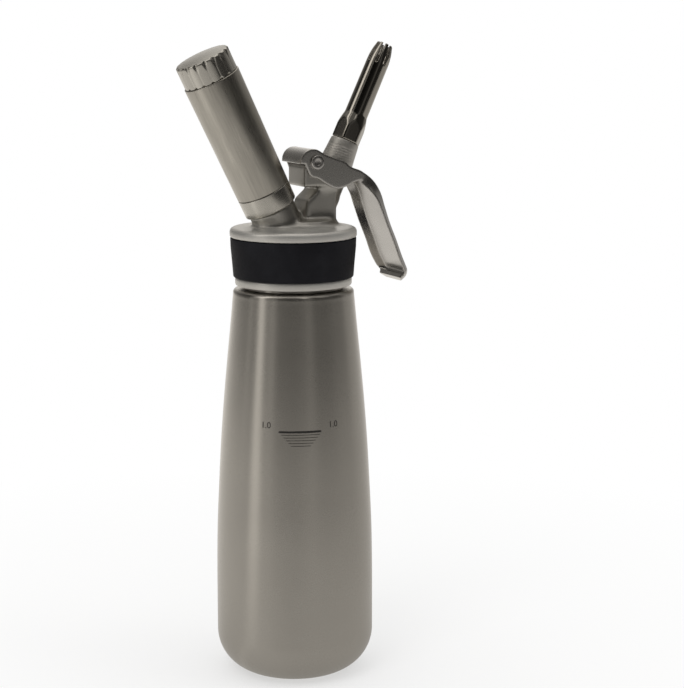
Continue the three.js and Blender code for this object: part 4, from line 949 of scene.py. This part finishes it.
def pin_form():
    """The pivot pin, with a dimple in its head."""
    dimple = -PIN_END + 0.8
    return turned(soft(
        [(0, dimple), (1.7, dimple, FINE), (1.7, -PIN_END, 0.25),
         (PIN_HEAD_RADIUS, -PIN_END, EDGE), (PIN_HEAD_RADIUS, -PIN_SEAT, FINE),
         (PIN_RADIUS, -PIN_SEAT, CREASE),
         (PIN_RADIUS, PIN_END, MILD), (0, PIN_END)]), BORE_STEPS)


def clip_form():
    """An open ring round the pin's far end."""
    return turned(soft([(PIN_BORE, PIN_SEAT, FINE), (PIN_HEAD_RADIUS, PIN_SEAT, SMALL),
                        (PIN_HEAD_RADIUS, PIN_END, MILD), (PIN_BORE, PIN_END, SMALL)], closed=True),
                  60, span=CLIP_SPAN)


dress(lever_arm(), lever_metal, "lever", "cast_metal", "lever")
dress(make("pin", pin_form(), PIN_AXIS), bright_steel, "head", "bright_steel", "pivot_pin")
dress(make("clip", clip_form(), PIN_AXIS), bright_steel, "head", "bright_steel", "pin_clip")


# Charger holder: base ring, tube and fluted cap

def holder_radius(along):
    share = (along - HOLDER_BOTTOM) / HOLDER_LENGTH
    return HOLDER_BASE_RADIUS + share * (HOLDER_TOP_RADIUS - HOLDER_BASE_RADIUS)


def base_ring_form():
    thread_start = STUD_THREAD_START + HOLDER_THREAD.pitch / 2
    return turned(soft(
        [(STUD_ROOM, HOLDER_BOTTOM, SMALL), (HOLDER_BASE_RADIUS, HOLDER_BOTTOM, SOFT),
         (holder_radius(BASE_RING_TOP), BASE_RING_TOP, HOLDER_EDGE), (STUD_ROOM, BASE_RING_TOP, FINE)]
        + ridges(STUD_ROOM, HOLDER_THREAD, 2, thread_start, side=-1)[::-1], closed=True), HOLDER_STEPS)


def tube_form():
    """The tube, with a wider room for the stud at its foot and for the cap's plug at its mouth."""
    top = CAP_BOTTOM - SEAT_GAP
    mouth, mouth_bottom = CAP_PLUG_RADIUS + SEAT_GAP, CAP_PLUG_BOTTOM - SEAT_GAP
    return turned(soft(
        [(STUD_ROOM, TUBE_BOTTOM, FINE), (holder_radius(TUBE_BOTTOM), TUBE_BOTTOM, HOLDER_EDGE),
         (HOLDER_TOP_RADIUS, top, EDGE), (mouth, top, FINE), (mouth, mouth_bottom, FINE),
         (HOLDER_BORE_RADIUS, mouth_bottom, FINE), (HOLDER_BORE_RADIUS, 46.65, SMALL),
         (STUD_ROOM, 44.6, FINE)], closed=True), HOLDER_STEPS)


def fluted(r, z, a):
    """Round flutes down the cap's side, deepest at its top edge and nicked at its foot."""
    up = z - CAP_BOTTOM
    if up < -0.1:
        return r
    pitch = 2 * pi / CAP_FLUTES
    off = (a % pitch) - pitch / 2
    deepening = max(0, min(1, (up - 6.4) / 6.5)) ** 2.2
    foot = max(0, 1 - up)
    centre = CAP_RADIUS + FLUTE_RADIUS - FLUTE_DEPTH - 1.15 * deepening - 0.5 * foot
    across = centre * sin(abs(off))
    if across >= FLUTE_RADIUS:
        return r
    return min(r, centre * cos(off) - sqrt(FLUTE_RADIUS**2 - across**2))


def cap_form():
    plug_hollow = HOLDER_BORE_RADIUS - SEAT_GAP
    hollow_top = CAP_PLUG_BOTTOM + 1.8
    plug = soft([(0, hollow_top), (plug_hollow, hollow_top), (plug_hollow, CAP_PLUG_BOTTOM, SMALL),
                 (CAP_PLUG_RADIUS, CAP_PLUG_BOTTOM, SMALL), (CAP_PLUG_RADIUS, CAP_BOTTOM, FINE),
                 (CAP_RADIUS, CAP_BOTTOM, SMALL)])
    side = [(CAP_RADIUS, CAP_BOTTOM + SEAT_GAP + 0.4 * i) for i in range(30)]
    edge = arc(CAP_RADIUS - 1.2, CAP_BOTTOM + 11.7, 1.2, 0, 84, 6)
    crown = [(r, CAP_BOTTOM + up) for r, up in CAP_CROWN]
    return turned(plug + side + edge + crown, CAP_FLUTES * 18, shape=fluted)


dress(make("base_ring", base_ring_form(), INLET, baked=True), cap_steel, "holder", "satin_steel",
      "holder_base_ring")
dress(make("tube", tube_form(), INLET), holder_steel, "holder", "satin_steel", "holder_tube")
dress(make("cap", cap_form(), INLET, angle=38, baked=True), cap_steel, "holder", "satin_steel", "holder_cap")


# Nozzle adaptor and tip

def adaptor_form():
    """The adaptor, with the fork's groove, its turned grooves, the threaded spigot and the stem's socket."""
    profile = [(STEM_SOCKET, ADAPTOR_BOTTOM, FINE), (8.4, ADAPTOR_BOTTOM, EDGE),
               (8.4, FLANGE_TOP, EDGE), (6, FLANGE_TOP, FINE),
               (6, CONE_BOTTOM, FINE), (CONE_BOTTOM_RADIUS, CONE_BOTTOM, 0.6)]
    for i in range(5):
        up = 4.4 + 1.5 * i
        z = CONE_BOTTOM + up
        r = CONE_BOTTOM_RADIUS - (CONE_BOTTOM_RADIUS - CONE_TOP_RADIUS) * up / (CONE_TOP - CONE_BOTTOM)
        profile += [(r, z - 0.22, 0.05), (r - 0.12, z, 0.05),
                    (r, z + 0.22, 0.05)]
    profile += [(CONE_TOP_RADIUS, CONE_TOP, EDGE), (SPIGOT_RADIUS, CONE_TOP, FINE)]
    profile += ridges(SPIGOT_RADIUS, SPIGOT_THREAD, SPIGOT_RIDGES, CONE_TOP + SPIGOT_THREAD.pitch)
    profile += [(SPIGOT_RADIUS, SPIGOT_TOP, SMALL), (3.2, SPIGOT_TOP, FINE),
                (3.2, THROAT_BOTTOM, CREASE), (STEM_SOCKET, THROAT_BOTTOM, CREASE)]
    return turned(soft(profile, closed=True), 128)


def hexed(r, z, a):
    """Flats on the collar, run softly into its round corners and its cone."""
    if r < 7.3 or z > 96:
        return r
    pitch = pi / 3
    off = ((a - radians(COLLAR_TURN)) % pitch) - pitch / 2
    flat = COLLAR_FLATS_RADIUS / cos(off)
    h = max(0.0, min(1.0, 0.5 + 0.5 * (flat - r) / 0.22))
    return flat * (1 - h) + r * h - 0.22 * h * (1 - h)


def tip_form():
    """The tip's outside in close rows, its closing crown and rim, and its bore back down to the thread."""
    outer = soft([(TUBE_FOOT_RADIUS, TIP_BOTTOM), (COLLAR_RADIUS, TIP_BOTTOM, 0.35),
                  (COLLAR_RADIUS, COLLAR_TOP, 1), (TUBE_FOOT_RADIUS, TUBE_FOOT, 3),
                  (CROWN_BOTTOM_RADIUS, CROWN_BOTTOM, EDGE)], steps=8)
    rows = []
    for (r0, z0), (r1, z1) in zip(outer, outer[1:]):
        steps = max(1, int(abs(z1 - z0) / (0.45 if z0 < 97 else 2.5)))
        rows += [(r0 + (r1 - r0) * i / steps, z0 + (z1 - z0) * i / steps) for i in range(steps)]
    thread_start = TIP_BOTTOM + SPIGOT_THREAD.pitch / 2
    bore = soft(MOUTH_POINTS + [(STEM_RADIUS, TIP_SHELF, FINE), (THREAD_ROOM, TIP_SHELF, FINE)]
                + ridges(THREAD_ROOM, SPIGOT_THREAD, SPIGOT_RIDGES, thread_start, side=-1)[::-1]
                + [(THREAD_ROOM, TIP_BOTTOM + 0.4)])
    rim = arc(4.05, 139.55, 0.85, 25, 150, 6)
    return turned(rows + hermite(CROWN_POINTS, 6) + rim + bore[1:], 144, shape=hexed)


def slot_cutter(turn):
    """A bar across the tip that cuts two slots facing each other, with rounded lower ends."""
    work = bmesh.new()
    bmesh.ops.create_cube(work, size=1)
    bmesh.ops.scale(work, vec=(SLOT_CUT_LENGTH, SLOT_WIDTH, SLOT_CUT_HEIGHT), verts=work.verts)
    lower_edges = [e for e in work.edges
                   if abs(e.verts[0].co.x - e.verts[1].co.x) > SLOT_CUT_LENGTH / 2 and e.verts[0].co.z < 0]
    bmesh.ops.bevel(work, geom=lower_edges, offset=0.6, segments=4, affect="EDGES")
    bmesh.ops.translate(work, vec=(0, 0, TIP_TOP - SLOT_LENGTH + SLOT_CUT_HEIGHT / 2), verts=work.verts)
    bmesh.ops.rotate(work, cent=(0, 0, 0), matrix=Matrix.Rotation(turn, 3, "Z"), verts=work.verts)
    form = ([tuple(v.co) for v in work.verts], [[v.index for v in f.verts] for f in work.faces])
    work.free()
    return make("slot", form, NOZZLE)


def nozzle_tip():
    tip = make("tip", tip_form(), NOZZLE, angle=40, baked=True)
    for i in range(SLOTS // 2):
        tip = cut(tip, slot_cutter(2 * pi * (i + 0.25) / SLOTS))
    return relaxed(fused(tip, 0.28), 9, first=4, concave=0.4, convex=0.3)


dress(make("adaptor", adaptor_form(), NOZZLE), adaptor_metal, "valve", "satin_steel", "nozzle_adaptor")
dress(nozzle_tip(), chrome, "tip", "chrome", "nozzle_tip")


# Inner parts keep their CAD shape

for name, material in {
    "head_gasket": red_seal, "inlet_plug": brass, "check_sleeve": red_seal, "piercing_pin": bright_steel,
    "charger_seal": white_seal, "gas_charger": charger_steel, "valve_stem": bright_steel,
    "valve_seal": red_seal, "stem_ring": red_seal, "gland_nut": brass, "valve_spring": spring_steel,
    "tip_seal": white_seal,
}.items():
    for slot in nodes[name].material_slots:
        slot.material = material


# Studio floor, in metres from here on

def seen_directly(tree):
    """One for camera, glossy and transmission rays."""
    path = tree.nodes.new("ShaderNodeLightPath")
    camera_or_glossy = combined(tree, "MAXIMUM", path.outputs["Is Camera Ray"], path.outputs["Is Glossy Ray"])
    return combined(tree, "MAXIMUM", camera_or_glossy, path.outputs["Is Transmission Ray"])


def floor_material():
    """A white floor that keeps the object's shadow and runs out into the white backdrop."""
    material, tree, shader = new_material("floor")
    shader.inputs["Roughness"].default_value = 0.9
    shader.inputs["Specular IOR Level"].default_value = 0.1
    base = mixed(tree, faded(tree, noise(tree, 3.0, EVEN), 0.0, 1.0),
                 (0.965, 0.965, 0.96), (0.955, 0.955, 0.95))
    tree.links.new(base, shader.inputs["Base Color"])
    white = tree.nodes.new("ShaderNodeEmission")
    white.inputs["Color"].default_value = (1, 1, 1, 1)
    white.inputs["Strength"].default_value = 1.0
    place = tree.nodes.new("ShaderNodeTexCoord")
    distance = tree.nodes.new("ShaderNodeVectorMath")
    distance.operation = "LENGTH"
    tree.links.new(place.outputs["Object"], distance.inputs[0])
    share = ramp(tree, distance.outputs["Value"], 0.12, 0.5, 0.5, 1.0)
    mix = tree.nodes.new("ShaderNodeMixShader")
    tree.links.new(times(tree, share, seen_directly(tree)), mix.inputs["Fac"])
    tree.links.new(shader.outputs["BSDF"], mix.inputs[1])
    tree.links.new(white.outputs["Emission"], mix.inputs[2])
    tree.links.new(mix.outputs["Shader"], tree.nodes["Material Output"].inputs["Surface"])
    return material


def studio_floor():
    mesh = bpy.data.meshes.new("floor")
    work = bmesh.new()
    bmesh.ops.create_grid(work, x_segments=24, y_segments=24, size=6)
    work.to_mesh(mesh)
    work.free()
    mesh.materials.append(floor_material())
    return linked("floor", mesh)


studio_floor()


# Surfaces that show only in reflections. Tables give brightness by the angle in degrees, to the right of
# the side that the photo shows, or by a distance in metres.

ROOM = [
    (-180, 0.95), (-168, 0.6), (-155, 0.28), (-140, 0.17), (-124, 0.10), (-108, 0.04), (-92, 0.02),
    (-89, 0.2), (-82, 0.2), (-79, 0.03), (-68, 0.03), (-65, 0.8), (-57, 0.8), (-54, 0.12), (-46, 0.05),
    (-43, 0.24), (-35, 0.24), (-32, 0.04), (-26, 0.005), (0, 0.01), (20, 0.02), (25, 0.1), (33, 0.1),
    (38, 0.02), (88, 0.03), (101, 0.05), (112, 0.22), (140, 0.26), (156, 0.36), (168, 0.6), (180, 0.95),
]
HIGH_STRIP = [(-82, 0), (-78, 1.5), (-62, 1.5), (-58, 0)]
CEILING_LIGHT = [(60, 0.16), (120, 0.3), (150, 0.9)]
CEILING_PANELS = ((-61, 9, 1.3), (-36, 5, 0.9), (28, 9, 1.1), (75, 12, 0.7))
TABLE = [
    (-180, 1.0), (-160, 0.95), (-140, 0.8), (-120, 0.7), (-100, 0.68), (-72, 0.58), (-66, 0.95), (-55, 0.95),
    (-48, 0.62), (-20, 0.51), (0, 0.47), (20, 0.52), (60, 0.5), (100, 0.47), (122, 0.5), (142, 0.58),
    (160, 0.75), (180, 1.0),
]
NEAR_TABLE = [
    (-180, 0.95), (-150, 0.72), (-100, 0.62), (-70, 0.6), (-60, 0.66), (-50, 0.6), (0, 0.54), (100, 0.52),
    (140, 0.55), (160, 0.7), (180, 1.0),
]
TABLE_BY_REACH = [(0.02, 0.75), (0.06, 0.9), (0.15, 0.98), (0.6, 0.98)]
DARK_CORNER = [(25, 0), (42, 1), (62, 1), (80, 0)]
TURNS = [-180 + 2 * i for i in range(181)]
HEIGHT_ANGLES = [0, 3, 8, 14, 20, 28, 36, 40, 44, 48, 54, 60, 66, 72, 78, 84, 89.5]
TABLE_REACHES = [0.012, 0.03, 0.055, 0.09, 0.15, 0.25, 0.45, 0.6, 1.0, 1.5, 1.6, 3.0]


def looked_up(value, table):
    return float(np.interp(value, [k for k, v in table], [v for k, v in table]))


def room_glow(turn, height_angle):
    """Walls up to where the ceiling takes over, which has soft panels and an even top."""
    ceiling = looked_up(abs(turn), CEILING_LIGHT)
    for middle, reach, level in CEILING_PANELS:
        ceiling = max(ceiling, level * max(0.0, 1 - (abs(turn - middle) / reach) ** 4))
    wall = looked_up(turn, ROOM)
    if height_angle > 24:
        wall = max(wall, looked_up(turn, HIGH_STRIP))
    over = looked_up(height_angle, [(40, 0), (48, 1)])
    top = looked_up(height_angle, [(66, 0), (78, 1)])
    return (wall * (1 - over) + max(wall, ceiling) * over) * (1 - top) + 0.95 * top


def table_glow(turn, reach):
    """Evener close to the bottle, and darker far out where the tower's side is turned."""
    near = looked_up(reach, [(0.1, 1), (0.6, 0)])
    level = looked_up(turn, TABLE) * (1 - near) + looked_up(turn, NEAR_TABLE) * near
    dark = looked_up(reach, [(1.5, 0), (1.6, 1)]) * looked_up(turn, DARK_CORNER)
    return level * looked_up(reach, TABLE_BY_REACH) * (1 - 0.6 * dark)


def polar(turn, reach, height):
    a = radians(PHOTO_SIDE + turn)
    return (reach * cos(a), reach * sin(a), height)


def reflected(name, rows, glows):
    """A studio surface that shows only in reflections, with its own brightness at each point."""
    n = len(rows[0])
    verts = [point for row in rows for point in row]
    faces = [[i * n + j, i * n + j + 1, (i + 1) * n + j + 1, (i + 1) * n + j]
             for i in range(len(rows) - 1) for j in range(n - 1)]
    mesh = bpy.data.meshes.new(name)
    mesh.from_pydata(verts, [], faces)
    layer = mesh.attributes.new("glow", "FLOAT", "POINT")
    layer.data.foreach_set("value", [glow for row in glows for glow in row])
    material, tree, shader = new_material(name)
    shader.inputs["Base Color"].default_value = (0, 0, 0, 1)
    shader.inputs["Specular IOR Level"].default_value = 0.0
    shader.inputs["Emission Color"].default_value = (1.0, 0.965, 0.915, 1)
    level = tree.nodes.new("ShaderNodeAttribute")
    level.attribute_name = "glow"
    tree.links.new(level.outputs["Fac"], shader.inputs["Emission Strength"])
    mesh.materials.append(material)
    obj = linked(name, mesh)
    for kind in ("camera", "diffuse", "shadow", "transmission", "volume_scatter"):
        setattr(obj, f"visible_{kind}", False)


room_rows = [(3 * cos(radians(angle)), 3 * sin(radians(angle)) + 0.002)
             for angle in HEIGHT_ANGLES]
reflected("room", [[polar(turn, reach, height) for turn in TURNS] for reach, height in room_rows],
          [[room_glow(turn, angle) for turn in TURNS] for angle in HEIGHT_ANGLES])
reflected("table", [[polar(turn, reach, 0.0015) for turn in TURNS] for reach in TABLE_REACHES],
          [[table_glow(turn, reach) for turn in TURNS] for reach in TABLE_REACHES])


# World and lamps

SCENE.world = bpy.data.worlds.new("studio")
SCENE.world.use_nodes = True
sky = SCENE.world.node_tree
background = sky.nodes["Background"]
background.inputs["Color"].default_value = (1, 1, 1, 1)
sky.links.new(ramp(sky, seen_directly(sky), 0.0, 1.0, 0.85, 1.0), background.inputs["Strength"])

LIT_POINT = Vector((0, 0, 0.15))


def lamp(name, at, size, power):
    """A round soft lamp aimed at the object, and left out of reflections."""
    data = bpy.data.lights.new(name, "AREA")
    data.shape = "DISK"
    data.size = size
    data.energy = power
    obj = linked(name, data)
    obj.location = at
    obj.rotation_euler = (LIT_POINT - Vector(at)).to_track_quat("-Z", "Y").to_euler()
    obj.visible_glossy = False


lamp("key", (-1.3, -1.0, 1.9), 1.2, 9)
lamp("fill", (1.4, -1.2, 1.3), 1.4, 4)
